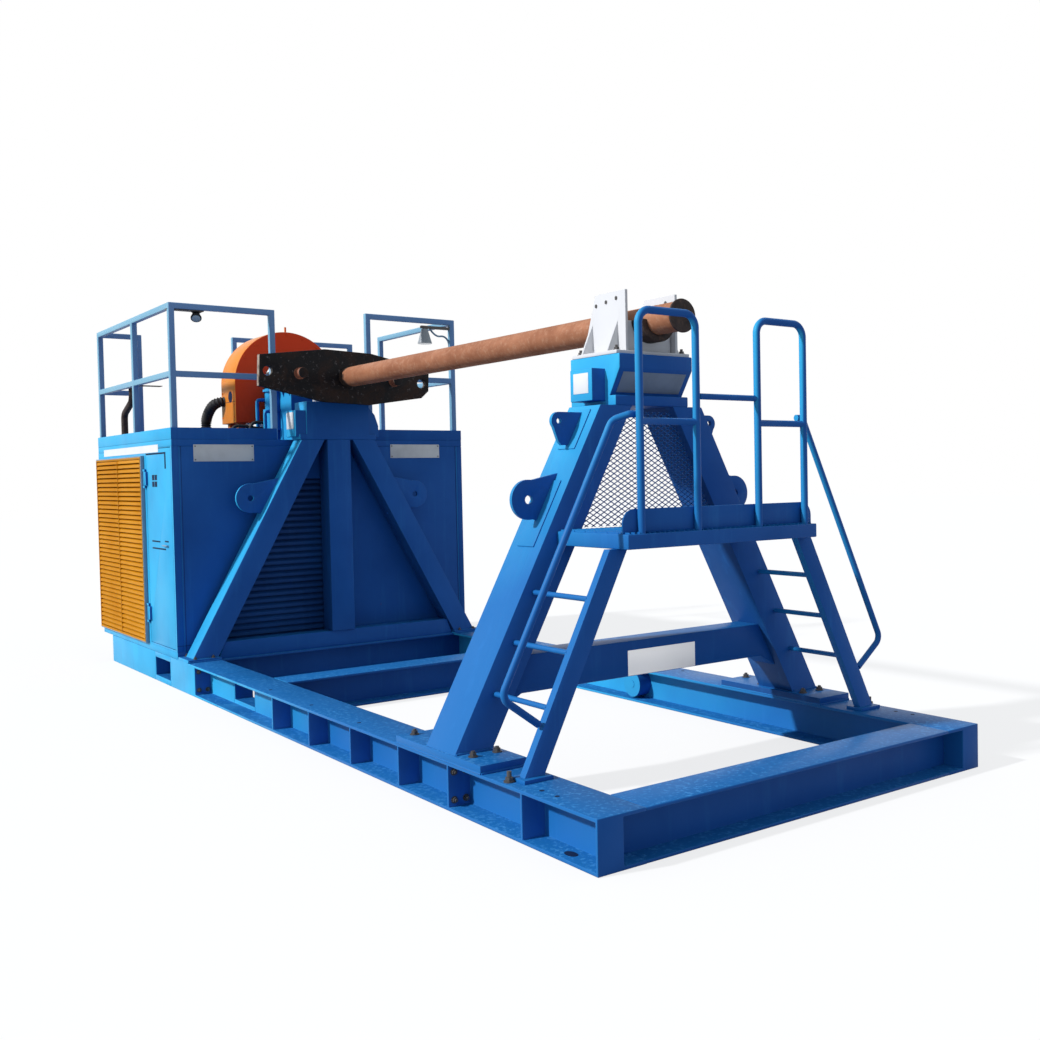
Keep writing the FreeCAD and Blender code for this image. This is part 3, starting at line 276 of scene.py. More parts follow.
# Black coating with brown stains and specks, with paler patches on its faces that look along -Y
def makeTar(name, colour, stain, paleSide):
    material, tree, shader = newMaterial(name, tar["roughness"], specular=tar["specular"])
    place = objectPlace(tree)
    blots = noise(tree, place, tar["blot"], 7.0, 0.68, 0.4)
    blots = ramp(tree, blots, *tar["blotEdges"], 0.0, tar["blotShare"])
    finish = mixColour(tree, blots, colour, stain)
    specks = noise(tree, place, tar["speck"], 4.0, 0.7)
    specks = ramp(tree, specks, *tar["speckEdges"], 0.0, tar["speckShare"])
    finish = mixColour(tree, specks, finish, tar["speckColour"])
    scratches = noise(tree, objectPlace(tree, tar["scratchStretch"]), tar["scratch"], 5.0, 0.7)
    scratches = ramp(tree, scratches, *tar["scratchEdges"], 0.0, tar["scratchShare"])
    finish = mixColour(tree, scratches, finish, tar["scratchColour"])
    patches = ramp(tree, noise(tree, place, tar["paleSidePatches"]), *tar["paleSidePatchesEdges"])
    paleSidePatches = combine(tree, "MULTIPLY", facing(tree, "-Y", *tar["paleSidePatchesFacing"]), patches)
    finish = mixColour(tree, paleSidePatches, finish, paleSide)
    tree.links.new(finish, shader.inputs["Base Color"])
    tree.links.new(ramp(tree, blots, 0.0, 1.0, *tar["roughRange"]), shader.inputs["Roughness"])
    bump(tree, shader, noise(tree, place, tar["grain"], 6.0, 0.7), *tar["relief"])
    return material


plain = {"cloud": 6.0, "cloudEdges": (0.4, 0.7), "grain": 60.0, "relief": (0.08, 0.002)}


# One colour, a little clouded by its mottle
def makePlain(name, colour, roughness=0.5, metallic=0.0, specular=0.4, mottle=0.2):
    material, tree, shader = newMaterial(name, roughness, metallic, specular)
    place = objectPlace(tree)
    darker = tuple(channel * (1 - mottle) for channel in colour)
    clouds = ramp(tree, noise(tree, place, plain["cloud"], 5.0), *plain["cloudEdges"])
    tree.links.new(mixColour(tree, clouds, colour, darker), shader.inputs["Base Color"])
    bump(tree, shader, noise(tree, place, plain["grain"], 3.0), *plain["relief"])
    return material


# The top colour and the side colours are painted light and shade, as light falls on top faces and on -Y
# faces; the faded side colour also holds some real sun fade
blue = {"colour": (0.014, 0.112, 0.42), "deep": (0.010, 0.085, 0.34), "dusty": (0.030, 0.20, 0.55),
        "top": (0.010, 0.125, 0.37), "sideLightAndShade": (0.013, 0.145, 0.42), "fadedAndSunlitSide": (0.035, 0.42, 0.74)}
# Painted shade: -Y faces out of the sun keep a dark side colour, with no fade
paintedShadeSideBlue = {**blue, "sideLightAndShade": (0.010, 0.07, 0.24), "fadedAndSunlitSide": None}
railBlue = {"colour": (0.17, 0.31, 0.58), "deep": (0.14, 0.27, 0.52), "dusty": (0.22, 0.38, 0.58),
            "top": (0.16, 0.34, 0.50), "sideLightAndShade": (0.16, 0.33, 0.48), "fadedAndSunlitSide": (0.20, 0.42, 0.56)}
shadeBlue = {"colour": (0.014, 0.08, 0.27), "deep": (0.008, 0.045, 0.17), "dusty": (0.03, 0.12, 0.34)}
orange = {"colour": (0.90, 0.068, 0.016), "deep": (0.80, 0.050, 0.013), "dusty": (0.90, 0.13, 0.03),
          "top": (0.62, 0.30, 0.15), "sideLightAndShade": (0.72, 0.25, 0.03)}
amber = {"colour": (0.60, 0.25, 0.004), "deep": (0.50, 0.19, 0.003), "dusty": (0.42, 0.15, 0.004)}
white = {"colour": (0.69, 0.69, 0.71), "deep": (0.64, 0.64, 0.66), "dusty": (0.60, 0.58, 0.55)}
bluePaint = makePaint("bluePaint", **blue, chips=0.4)
wetPaint = makePaint("wetBluePaint", **blue, wet=0.7, chips=0.6)
paintedShadeSidePaint = makePaint("paintedShadeSideBluePaint", **paintedShadeSideBlue, wet=0.3, chips=0.4)
railPaint = makePaint("railPaint", **railBlue, chips=0.5)
darkPaint = makePaint("shadeBluePaint", **shadeBlue)
orangePaint = makePaint("guardOrange", **orange, chips=0.3)
amberPaint = makePaint("louvreAmber", **amber, roughness=0.6)
whitePaint = makePaint("bearingWhite", **white, chips=0.4)
shaftRust = makeRust("shaftRust", (0.38, 0.155, 0.078), (0.26, 0.095, 0.045), (0.48, 0.27, 0.17),
                     (at(5.50), at(5.46)))
pinRust = makeRust("pinRust", (0.34, 0.12, 0.07), (0.16, 0.06, 0.04), (0.46, 0.24, 0.15))
darkIron = makeRust("darkIron", (0.045, 0.03, 0.028), (0.02, 0.014, 0.014), (0.12, 0.07, 0.05))
armTar = makeTar("armTar", (0.005, 0.005, 0.007), (0.045, 0.024, 0.017), (0.34, 0.27, 0.22))
blackRubber = makePlain("blackRubber", (0.016, 0.016, 0.018), 0.6, specular=0.25)
plateSilver = makePlain("plateSilver", (0.50, 0.53, 0.57), 0.4, 0.2)
plateWhite = makePlain("plateWhite", (0.74, 0.75, 0.77), 0.4, mottle=0.06)
boltZinc = makePlain("boltZinc", (0.085, 0.08, 0.08), 0.5, 0.3)
# Dark joints and seams, and painted shade in holes, gaps and slots
jointsAndPaintedShade = makePlain("jointsAndPaintedShade", (0.008, 0.02, 0.06), 0.7, specular=0.1)
trimGrey = makePlain("trimGrey", (0.20, 0.32, 0.44), 0.45)
lampGlass = makePlain("lampGlass", (0.46, 0.49, 0.52), 0.2, 0.4)
plateBright = makePlain("plateBright", (0.97, 0.97, 0.97), 0.55, 0.75, mottle=0.02)
plateWithPaintedShade = makePlain("plateWithPaintedShade", (0.22, 0.27, 0.36), 0.5, specular=0.2)
lampGrey = makePlain("lampGrey", (0.30, 0.33, 0.36), 0.5)
pinkRubber = makePlain("pinkRubber", (0.52, 0.24, 0.21), 0.6)
print("materials made")

slotOf = {entry["node"]: entry["material_slot"] for entry in frame["record"]["subparts"]}
finishOf = {"blue_paint": bluePaint, "orange_paint": orangePaint, "louvre_orange": amberPaint,
            "louvre_dark": darkPaint, "rusty_steel": shaftRust, "dark_steel": darkIron,
            "black_steel": armTar, "white_paint": whitePaint, "hose_rubber": blackRubber}


# Building pieces

def finishPiece(name, shape, material, body="frame", smooth=30, stands=()):
    mesh = bpy.data.meshes.new(name)
    shape.to_mesh(mesh)
    shape.free()
    mesh.polygons.foreach_set("use_smooth", [True] * len(mesh.polygons))
    mesh.set_sharp_from_angle(angle=math.radians(smooth))
    mesh.materials.append(material)
    piece = bpy.data.objects.new(name, mesh)
    scene.collection.objects.link(piece)
    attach(piece, body)
    if stands:
        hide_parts(*stands)
    return piece


# A block between two corners, softened and turned about its own middle
def addBlock(shape, low, high, soft=0.0, turn=None):
    low, high = Vector(low), Vector(high)
    made = bmesh.ops.create_cube(shape, size=1.0)
    bmesh.ops.scale(shape, vec=high - low, verts=made["verts"])
    if soft:
        edges = list(dict.fromkeys(edge for vert in made["verts"] for edge in vert.link_edges))
        made = bmesh.ops.bevel(shape, geom=edges, offset=soft, segments=2, profile=0.5, affect="EDGES",
                               material=-1)
    if turn:
        bmesh.ops.transform(shape, matrix=turn, verts=made["verts"])
    bmesh.ops.translate(shape, vec=(low + high) / 2, verts=made["verts"])


def addRod(shape, start, end, radius, sides=20, endRadius=None):
    start, end = Vector(start), Vector(end)
    along = end - start
    matrix = Matrix.Translation((start + end) / 2) @ along.to_track_quat("Z", "Y").to_matrix().to_4x4()
    made = bmesh.ops.create_cone(shape, cap_ends=True, segments=sides, radius1=radius,
                                 radius2=radius if endRadius is None else endRadius, depth=along.length,
                                 matrix=matrix)
    return made["verts"]


bolt = {"washer": 0.3, "washerRadius": 1.3, "nut": 1.1, "studRadius": 0.55}  # in sizes of the nut


# A washer, a hexagon nut and, where asked, the thread's end
def addBolt(shape, place, axis, size, stud=0.0):
    place, axis = Vector(place), Vector(axis).normalized()
    washerTop = place + axis * size * bolt["washer"]
    nutTop = place + axis * size * bolt["nut"]
    addRod(shape, place, washerTop, size * bolt["washerRadius"], 16)
    addRod(shape, washerTop, nutTop, size, 6)
    if stud:
        addRod(shape, nutTop, place + axis * (size * bolt["nut"] + stud), size * bolt["studRadius"], 10)


# A mesh line or tube along the given points; thinner narrows every second ring
def splineMesh(points, radius=0.0, resolution=10, kind="NURBS", thinner=0.0):
    curve = bpy.data.curves.new("route", "CURVE")
    curve.dimensions = "3D"
    curve.bevel_depth = radius
    curve.bevel_resolution = 4
    curve.use_fill_caps = radius > 0
    curve.resolution_u = resolution
    spline = curve.splines.new(kind)
    spline.points.add(len(points) - 1)
    for index, (target, point) in enumerate(zip(spline.points, points)):
        target.co = (*point, 1.0)
        target.radius = 1.0 - thinner * (index % 2)
    if kind == "NURBS":
        spline.order_u = 3
        spline.use_endpoint_u = True
    holder = bpy.data.objects.new("route", curve)
    scene.collection.objects.link(holder)
    mesh = bpy.data.meshes.new_from_object(holder)
    bpy.data.objects.remove(holder)
    bpy.data.curves.remove(curve)
    return mesh


def hoseShape(points, radius, resolution=10, thinner=0.0):
    if thinner:
        line = splineMesh(points, 0.0, resolution)
        places = [vert.co.copy() for vert in line.vertices]
        bpy.data.meshes.remove(line)
        mesh = splineMesh(places, radius, 1, "POLY", thinner)
    else:
        mesh = splineMesh(points, radius, resolution)
    shape = bmesh.new()
    shape.from_mesh(mesh)
    bpy.data.meshes.remove(mesh)
    return shape


dressing = {"edge": 0.005, "sharpAngle": 28, "smoothAngle": 34, "flatAngle": 0.6, "merge": 0.00005}


# A copy of a CAD node with merged corners, softened edges and its paint
def dressNode(node, material, edge):
    source = frame["nodes"][node]
    shape = bmesh.new()
    shape.from_mesh(source.data)
    bmesh.ops.remove_doubles(shape, verts=shape.verts, dist=dressing["merge"])
    bmesh.ops.dissolve_limit(shape, angle_limit=math.radians(dressing["flatAngle"]), verts=shape.verts,
                             edges=shape.edges)
    if edge:
        limit = math.radians(dressing["sharpAngle"])
        sharp = [bar for bar in shape.edges if len(bar.link_faces) == 2 and bar.calc_face_angle() > limit]
        bmesh.ops.bevel(shape, geom=sharp, offset=edge, segments=2, profile=0.5, affect="EDGES", material=-1,
                        clamp_overlap=True)
    finishPiece(node + "Finish", shape, material, source["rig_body"], dressing["smoothAngle"],
                [node])


replacedLater = {"mesh_guard", "guard_hose"}
softEdge = {"shaft": 0.003, "shaft_collar": 0.004, "drive_arm": 0.004, "toe_board": 0.002,
            "side_louvre": 0.0, "front_louvre": 0.0, "exhaust_pipe": 0.0, "hoop_near": 0.0, "hoop_far": 0.0,
            "hoop_cross_bar": 0.0, "handrail_near": 0.0, "handrail_far": 0.0, "coaming_near": 0.002,
            "coaming_far": 0.002, "rail_near": 0.006, "rail_far": 0.006, "rail_rear": 0.006,
            "outboard_leg_near": 0.010, "outboard_leg_far": 0.010, "drive_leg_near": 0.008,
            "drive_leg_far": 0.008, "gear_guard": 0.006, "side_door": 0.003, "container_wall_near": 0.002,
            "bearing_foot": 0.003}
# Wet parts: water drops on their top faces carry painted highlights
wetStarts = ("side_beam", "end_beam", "cross_beam", "fork_pocket")
wetNodes = {name for name in frame["nodes"] if name.startswith(wetStarts)}
wetNodes |= {"outboard_leg_near", "drive_leg_near", "platform_floor"}
# Parts whose -Y faces get painted shade, as they lie out of the sun
paintedShadeSideNodes = {"outboard_leg_far", "outboard_tie_beam", "drive_post", "drive_leg_far"}
for node in sorted(set(frame["nodes"]) - replacedLater):
    material = finishOf[slotOf[node]]
    if node in wetNodes:
        material = wetPaint
    if node in paintedShadeSideNodes:
        material = paintedShadeSidePaint
    if node.startswith("rail_"):
        material = railPaint
    dressNode(node, material, softEdge.get(node, dressing["edge"]))
print("nodes dressed")


# Ribbed hose from the guard down to the roof, and small hoses along the guard's foot
hose = {"route": [(7.33, -0.52, 2.56), (7.33, -0.61, 2.56), (7.60, -0.61, 2.42), (7.605, -0.61, 2.29),
                  (7.60, -0.61, 2.145)],
        "radius": 0.052, "ribs": 11, "ribDepth": 0.22, "smoothAngle": 60}


def guardHose():
    points = [(at(setback), y, z) for setback, y, z in hose["route"]]
    shape = hoseShape(points, hose["radius"], hose["ribs"], hose["ribDepth"])
    finishPiece("guardHoseRibs", shape, blackRubber, stands=["guard_hose"],
                smooth=hose["smoothAngle"])


smallHoses = {"radius": 0.016, "front": 6.93, "height": 2.30, "from": -0.60, "to": 0.20, "apart": 0.16,
              "lifts": (0.0, 0.035, 0.02), "aheads": (0.0, 0.05, 0.10),
              "finishes": (blackRubber, blackRubber, pinkRubber)}


def footHoses():
    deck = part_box("container_roof")[1].z
    end = smallHoses["to"]
    runs = zip(smallHoses["lifts"], smallHoses["aheads"], smallHoses["finishes"])
    for index, (lift, ahead, material) in enumerate(runs):
        x = at(smallHoses["front"]) + ahead
        start = smallHoses["from"] + smallHoses["apart"] * index
        z = smallHoses["height"] + lift
        points = [(x, start, deck), (x, start, z), (x + 0.02, start + 0.12, z + 0.01),
                  (x + 0.05, start + 0.3, z - 0.03), (x, end - 0.08, z + 0.01), (x, end, z), (x, end, deck)]
        finishPiece(f"footHose{index}", hoseShape(points, smallHoses["radius"]), material)


guardHose()
footHoses()
print("hoses made")


# Expanded metal between the outboard legs
expanded = {"across": 0.052, "up": 0.030, "strand": 0.0045, "depth": 0.005, "trim": 0.002, "overrun": 1.02}


def meshGuard():
    low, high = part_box("mesh_guard")
    x = (low.x + high.x) / 2
    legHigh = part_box("outboard_leg_near")[1]
    slope = (high.y - abs(legHigh.y)) / (legHigh.z - low.z)
    height = high.z - low.z
    angle = math.atan(expanded["up"] / expanded["across"])
    reach = height / math.tan(angle)
    length = math.hypot(reach, height) * expanded["overrun"]
    half = Vector((expanded["depth"], length, expanded["strand"])) / 2
    count = int((high.y - low.y + reach) / expanded["across"]) + 2
    shape = bmesh.new()
    for lean in (-1, 1):
        turn = Matrix.Rotation(lean * angle, 4, "X")
        for step in range(-count, count):
            middle = Vector((x, step * expanded["across"], (low.z + high.z) / 2))
            addBlock(shape, middle - half, middle + half, 0, turn)
    outward = Vector((0, height, slope * height)).normalized()  # square to the near leg's edge
    sides = [((x, 0, low.z + expanded["trim"]), (0, 0, -1)), ((x, 0, high.z - expanded["trim"]), (0, 0, 1))]
    sides += [((x, side * high.y, low.z), (0, side * outward.y, outward.z)) for side in (-1, 1)]
    for point, normal in sides:
        bmesh.ops.bisect_plane(shape, geom=shape.verts[:] + shape.edges[:] + shape.faces[:], dist=0.00001,
                               plane_co=point, plane_no=normal, clear_outer=True)
        bmesh.ops.holes_fill(shape, edges=[edge for edge in shape.edges if edge.is_boundary], sides=8)
    bmesh.ops.recalc_face_normals(shape, faces=shape.faces)
    finishPiece("meshStrands", shape, bluePaint, stands=["mesh_guard"])


meshGuard()
print("mesh made")


# Container: plates, door details, louvre trim and seams
# The front plates run from Y to Y and the others from a setback to a setback, then each from Z to Z
plates = {"left": (-1.218, -0.695, 1.953, 2.100), "right": (0.624, 1.148, 1.974, 2.104),
          "thick": 0.003, "soft": 0.001, "rivet": 0.006, "rivetInset": 0.015, "rivetProud": 0.003,
          "strip": (8.30, 6.44, 2.045, 2.112), "stripProud": 0.002, "stripSunk": 0.001}


def platesOnContainer():
    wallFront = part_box("container_wall_front")[1].x
    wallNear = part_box("container_roof")[0].y
    outer = wallFront + plates["thick"]
    inset = plates["rivetInset"]
    shape = bmesh.new()
    rivets = bmesh.new()
    for side in ("left", "right"):
        y0, y1, z0, z1 = plates[side]
        addBlock(shape, (wallFront, y0, z0), (outer, y1, z1), plates["soft"])
        for y in (y0 + inset, y1 - inset):
            for z in (z0 + inset, z1 - inset):
                addRod(rivets, (wallFront, y, z), (outer + plates["rivetProud"], y, z), plates["rivet"], 10)
    finishPiece("wallPlates", shape, plateSilver)
    finishPiece("wallPlateRivets", rivets, boltZinc)
    back, front, z0, z1 = plates["strip"]
    shape = bmesh.new()
    addBlock(shape, (at(back), wallNear - plates["stripProud"], z0),
             (at(front), wallNear + plates["stripSunk"], z1))
    finishPiece("whiteStrip", shape, plateWhite)


door = {"squares": (6.645, 6.500, 1.740, 1.846), "squareGap": 0.012, "squareSplit": 0.016,
        "topGap": (6.82, 6.225, 2.026, 2.040), "topGapEnd": 0.035, "topGapDrop": 0.13,
        "slots": ((6.70, 6.457, 1.250), (6.695, 6.294, 1.188), (6.316, 6.209, 1.258)), "slotHeight": 0.013,
        "slotSoft": 0.001, "proud": 0.0015, "sunk": 0.002, "handleSetback": 6.316, "handleHeight": 1.228,
        "handleReach": 0.016, "grip": (-0.02, 0.11), "gripRadius": 0.006, "posts": (-0.01, 0.10),
        "postRadius": 0.005, "postSunk": 0.001}


# Dark vent squares, painted shade in the gap at the door's top corner and in the slots of its lock, and its
# handle
def doorDetails():
    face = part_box("container_roof")[0].y
    outer = face - door["proud"]
    inner = face + door["sunk"]
    marks = bmesh.new()
    back, front, z0, z1 = door["squares"]
    middle = (z0 + z1) / 2
    split = (at(back) + at(front)) / 2
    halfGap = door["squareGap"] / 2
    halfSplit = door["squareSplit"] / 2
    for x0, x1 in ((at(back), split - halfSplit), (split + halfSplit, at(front))):
        for low, high in ((z0, middle - halfGap), (middle + halfGap, z1)):
            addBlock(marks, (x0, outer, low), (x1, inner, high))
    for back, front, z in door["slots"]:
        addBlock(marks, (at(back), outer, z), (at(front), inner, z + door["slotHeight"]), door["slotSoft"])
    back, front, z0, z1 = door["topGap"]
    addBlock(marks, (at(back), outer, z0), (at(front), inner, z1))
    addBlock(marks, (at(front) - door["topGapEnd"], outer, z0 - door["topGapDrop"]), (at(front), inner, z0))
    finishPiece("doorMarks", marks, jointsAndPaintedShade, "side_door")
    shape = bmesh.new()
    z = door["handleHeight"]
    reach = face - door["handleReach"]
    start, end = (at(door["handleSetback"]) + offset for offset in door["grip"])
    addRod(shape, (start, reach, z), (end, reach, z), door["gripRadius"], 12)
    for offset in door["posts"]:
        x = at(door["handleSetback"]) + offset
        addRod(shape, (x, face + door["postSunk"], z), (x, reach, z), door["postRadius"], 10)
    finishPiece("doorHandle", shape, trimGrey, "side_door")


louvreTrim = {"width": 0.012, "proud": 0.031, "sunk": 0.001, "soft": 0.002, "sideScrews": 11,
              "topScrews": (0.25, 0.75), "screwRadius": 0.0048, "screwHeight": 0.003}


def louvreFrame():
    low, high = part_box("side_louvre")
    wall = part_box("container_roof")[0].y
    width = louvreTrim["width"]
    face = wall - louvreTrim["proud"]
    back = wall + louvreTrim["sunk"]
    shape = bmesh.new()
    for x0, x1 in ((low.x - width, low.x), (high.x, high.x + width)):
        addBlock(shape, (x0, face, low.z - width), (x1, back, high.z + width), louvreTrim["soft"])
    for z0, z1 in ((low.z - width, low.z), (high.z, high.z + width)):
        addBlock(shape, (low.x, face, z0), (high.x, back, z1), louvreTrim["soft"])
    finishPiece("louvreTrim", shape, trimGrey)
    places = []
    for step in range(louvreTrim["sideScrews"]):
        z = low.z + (high.z - low.z) * (step + 0.5) / louvreTrim["sideScrews"]
        places += [(low.x - width / 2, z), (high.x + width / 2, z)]
    for share in louvreTrim["topScrews"]:
        x = low.x + (high.x - low.x) * share
        places += [(x, low.z - width / 2), (x, high.z + width / 2)]
    screws = bmesh.new()
    for x, z in places:
        addRod(screws, (x, face, z), (x, face - louvreTrim["screwHeight"], z), louvreTrim["screwRadius"], 8)
    finishPiece("louvreScrews", screws, plateSilver)


seams = {"post": 0.075, "rail": 0.05, "width": 0.003, "proud": 0.0012, "sunk": 0.002}


# The lines where the container's corner posts and bottom rail meet its sheet
def wallSeams():
    low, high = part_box("container_wall_front")
    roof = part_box("container_roof")[0]
    inner, outer = high.x - seams["sunk"], high.x + seams["proud"]
    rail = low.z + seams["rail"]
    shape = bmesh.new()
    for y in (roof.y + seams["post"], -roof.y - seams["post"]):
        addBlock(shape, (inner, y, low.z), (outer, y + seams["width"], roof.z))
    addBlock(shape, (inner, roof.y, rail), (outer, -roof.y, rail + seams["width"]))
    finishPiece("wallSeams", shape, jointsAndPaintedShade)


platesOnContainer()
doorDetails()
louvreFrame()
wallSeams()
print("container details made")


# Roof: lamps, exhaust flap, guard details, motor and flanges beside the gearbox
# The lamps' places are a distance behind the rails' front, then Y and Z
nearLamp = {"place": (0.05, -1.14, 3.20), "aim": (0.62, -0.20, -0.75), "radius": 0.045, "backShare": 0.6,
            "depth": 0.05, "rim": 0.012, "glass": (0.010, 0.014), "glassShare": 0.8, "armFoot": 0.03,
            "armSpread": 0.05, "armTop": 3.262, "armRadius": 0.008,
            "plate": ((0.10, -1.385, 3.25), (0.02, -1.08, 3.262)), "plateSoft": 0.003}
farLamp = {"place": (0.02, 1.04, 3.17), "half": 0.07, "radius": 0.07, "topRadius": 0.03,
           "glass": (0.076, 0.068), "glassRadius": 0.066, "stemTop": 3.25, "stemRadius": 0.014,
           "plate": ((0.04, 1.00, 3.245), (0.005, 1.36, 3.272)), "plateSoft": 0.003}
lampCable = {"radius": 0.009, "route": [(0.03, 1.10, 3.25), (0.03, 1.16, 3.17), (0.03, 1.27, 3.19),
                                        (0.03, 1.325, 3.10), (0.03, 1.325, 2.70), (0.03, 1.325, 2.25)]}


def fromRail(place):
    back, y, z = place
    return Vector((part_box("rail_near")[1].x - back, y, z))


def roofLamps():
    housing = bmesh.new()
    cone = bmesh.new()
    glass = bmesh.new()
    arms = bmesh.new()
    aim = Vector(nearLamp["aim"]).normalized()
    middle = fromRail(nearLamp["place"])
    radius = nearLamp["radius"]
    addRod(housing, middle - aim * nearLamp["depth"], middle, radius * nearLamp["backShare"], 20, radius)
    addRod(housing, middle, middle + aim * nearLamp["rim"], radius, 20)
    inner, outer = (middle + aim * reach for reach in nearLamp["glass"])
    addRod(glass, inner, outer, radius * nearLamp["glassShare"], 20)
    for side in (-1, 1):
        end = (middle.x, middle.y + side * nearLamp["armSpread"], nearLamp["armTop"])
        addRod(arms, middle - aim * nearLamp["armFoot"], end, nearLamp["armRadius"], 8)
    addBlock(arms, *(fromRail(corner) for corner in nearLamp["plate"]), nearLamp["plateSoft"])
    middle = fromRail(farLamp["place"])
    top = middle + Vector((0, 0, farLamp["half"]))
    addRod(cone, middle - Vector((0, 0, farLamp["half"])), top, farLamp["radius"], 20, farLamp["topRadius"])
    low, high = (middle - Vector((0, 0, drop)) for drop in farLamp["glass"])
    addRod(glass, low, high, farLamp["glassRadius"], 20)
    addBlock(arms, *(fromRail(corner) for corner in farLamp["plate"]), farLamp["plateSoft"])
    addRod(arms, top, (middle.x, middle.y, farLamp["stemTop"]), farLamp["stemRadius"], 10)
    finishPiece("nearLampHousing", housing, blackRubber)
    finishPiece("farLampShade", cone, lampGrey)
    finishPiece("lampGlasses", glass, lampGlass)
    finishPiece("lampArms", arms, boltZinc)
    cable = [fromRail(place) for place in lampCable["route"]]
    finishPiece("lampCable", hoseShape(cable, lampCable["radius"]), trimGrey)


flap = {"near": -0.12, "far": 0.27, "half": 0.05, "lift": 0.004, "thick": 0.006, "soft": 0.002,
        "hinge": 0.06, "hingeRadius": 0.008, "flangeThick": 0.012, "flangeShare": 1.9}


# A thin rain flap that lies across the mouth, and the flange at the pipe's foot
def exhaustFlap():
    low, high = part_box("exhaust_pipe")
    radius = (high.y - low.y) / 2
    middle = (low.y + high.y) / 2
    mouth = high.x - radius
    foot = low.x + radius
    hinge = middle - radius
    z = high.z + flap["lift"]
    top = z + flap["thick"]
    shape = bmesh.new()
    addBlock(shape, (mouth - flap["half"], middle + flap["near"], z),
             (mouth + flap["half"], middle + flap["far"], top), flap["soft"])
    addRod(shape, (mouth, hinge, z - flap["hinge"]), (mouth, hinge, top), flap["hingeRadius"], 8)
    addRod(shape, (foot, middle, low.z), (foot, middle, low.z + flap["flangeThick"]),
           radius * flap["flangeShare"], 24)
    finishPiece("exhaustFlap", shape, darkIron)


guardBits = {"hole": (7.137, 2.596), "holeRadius": 0.055, "holeProud": 0.0015, "sunk": 0.001,
             "seam": 2.545, "seamWidth": 0.004, "seamInset": 0.01, "seamProud": 0.001,
             "nub": 0.05, "nubRadius": 0.010, "nubSunk": 0.004, "nubInsets": (0.016, 0.024),
             "studRadius": 0.009, "studHeight": 0.006, "studInset": 0.03, "studLevels": (2.40, 2.52, 2.64),
             "archStuds": 9, "archFrom": 12, "archStep": 19.5}


def guardDetails():
    low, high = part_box("gear_guard")
    dark = bmesh.new()
    # Painted shade where the guard's hole is; the seam line is a dark joint
    setback, z = guardBits["hole"]
    x = at(setback)
    sunk = low.y + guardBits["sunk"]
    addRod(dark, (x, sunk, z), (x, low.y - guardBits["holeProud"], z), guardBits["holeRadius"], 24)
    seam = guardBits["seam"]
    addBlock(dark, (low.x + guardBits["seamInset"], low.y - guardBits["seamProud"], seam),
             (high.x - guardBits["seamInset"], sunk, seam + guardBits["seamWidth"]))
    finishPiece("guardOpenings", dark, jointsAndPaintedShade)
    studs = bmesh.new()
    behind, ahead = guardBits["nubInsets"]
    for x in (low.x + behind, high.x - ahead):
        addRod(studs, (x, 0, high.z - guardBits["nubSunk"]), (x, 0, high.z + guardBits["nub"]),
               guardBits["nubRadius"], 10)
    radius = guardBits["studRadius"]
    inset = guardBits["studInset"]
    for side in (-1, 1):
        outer = side * (high.y + guardBits["studHeight"])
        for z in guardBits["studLevels"]:
            for x in (low.x + inset, high.x - inset):
                addRod(studs, (x, side * high.y, z), (x, outer, z), radius, 8)
    reach = high.y - inset
    height = high.z - high.y
    for step in range(guardBits["archStuds"]):
        angle = math.radians(guardBits["archFrom"] + step * guardBits["archStep"])
        place = Vector((high.x, math.cos(angle) * reach, height + math.sin(angle) * reach))
        addRod(studs, place, place + Vector((guardBits["studHeight"], 0, 0)), radius, 8)
    finishPiece("guardFixings", studs, orangePaint)


gear = {"flanges": (6.47, 6.62, 6.80, 6.97), "flangeRadius": 0.222, "flangeThick": 0.018, "bolts": 16,
        "boltInset": 0.013, "boltSize": 0.008}
motor = {"setback": 6.80, "y": -0.215, "radius": 0.085, "low": 2.26, "high": 2.66,
         "rings": (2.26, 2.44, 2.63), "ringThick": 0.02, "ringShare": 1.22,
         "footShare": 0.8, "footOver": 0.01,
         "pipes": (("motorPipeLow", 0.10, 2.44), ("motorPipeHigh", -0.10, 2.56)), "pipeRadius": 0.017,
         "pipeStart": 0.02, "pipeBend": 0.10, "pipeOut": 0.13, "pipeFoot": 2.20}


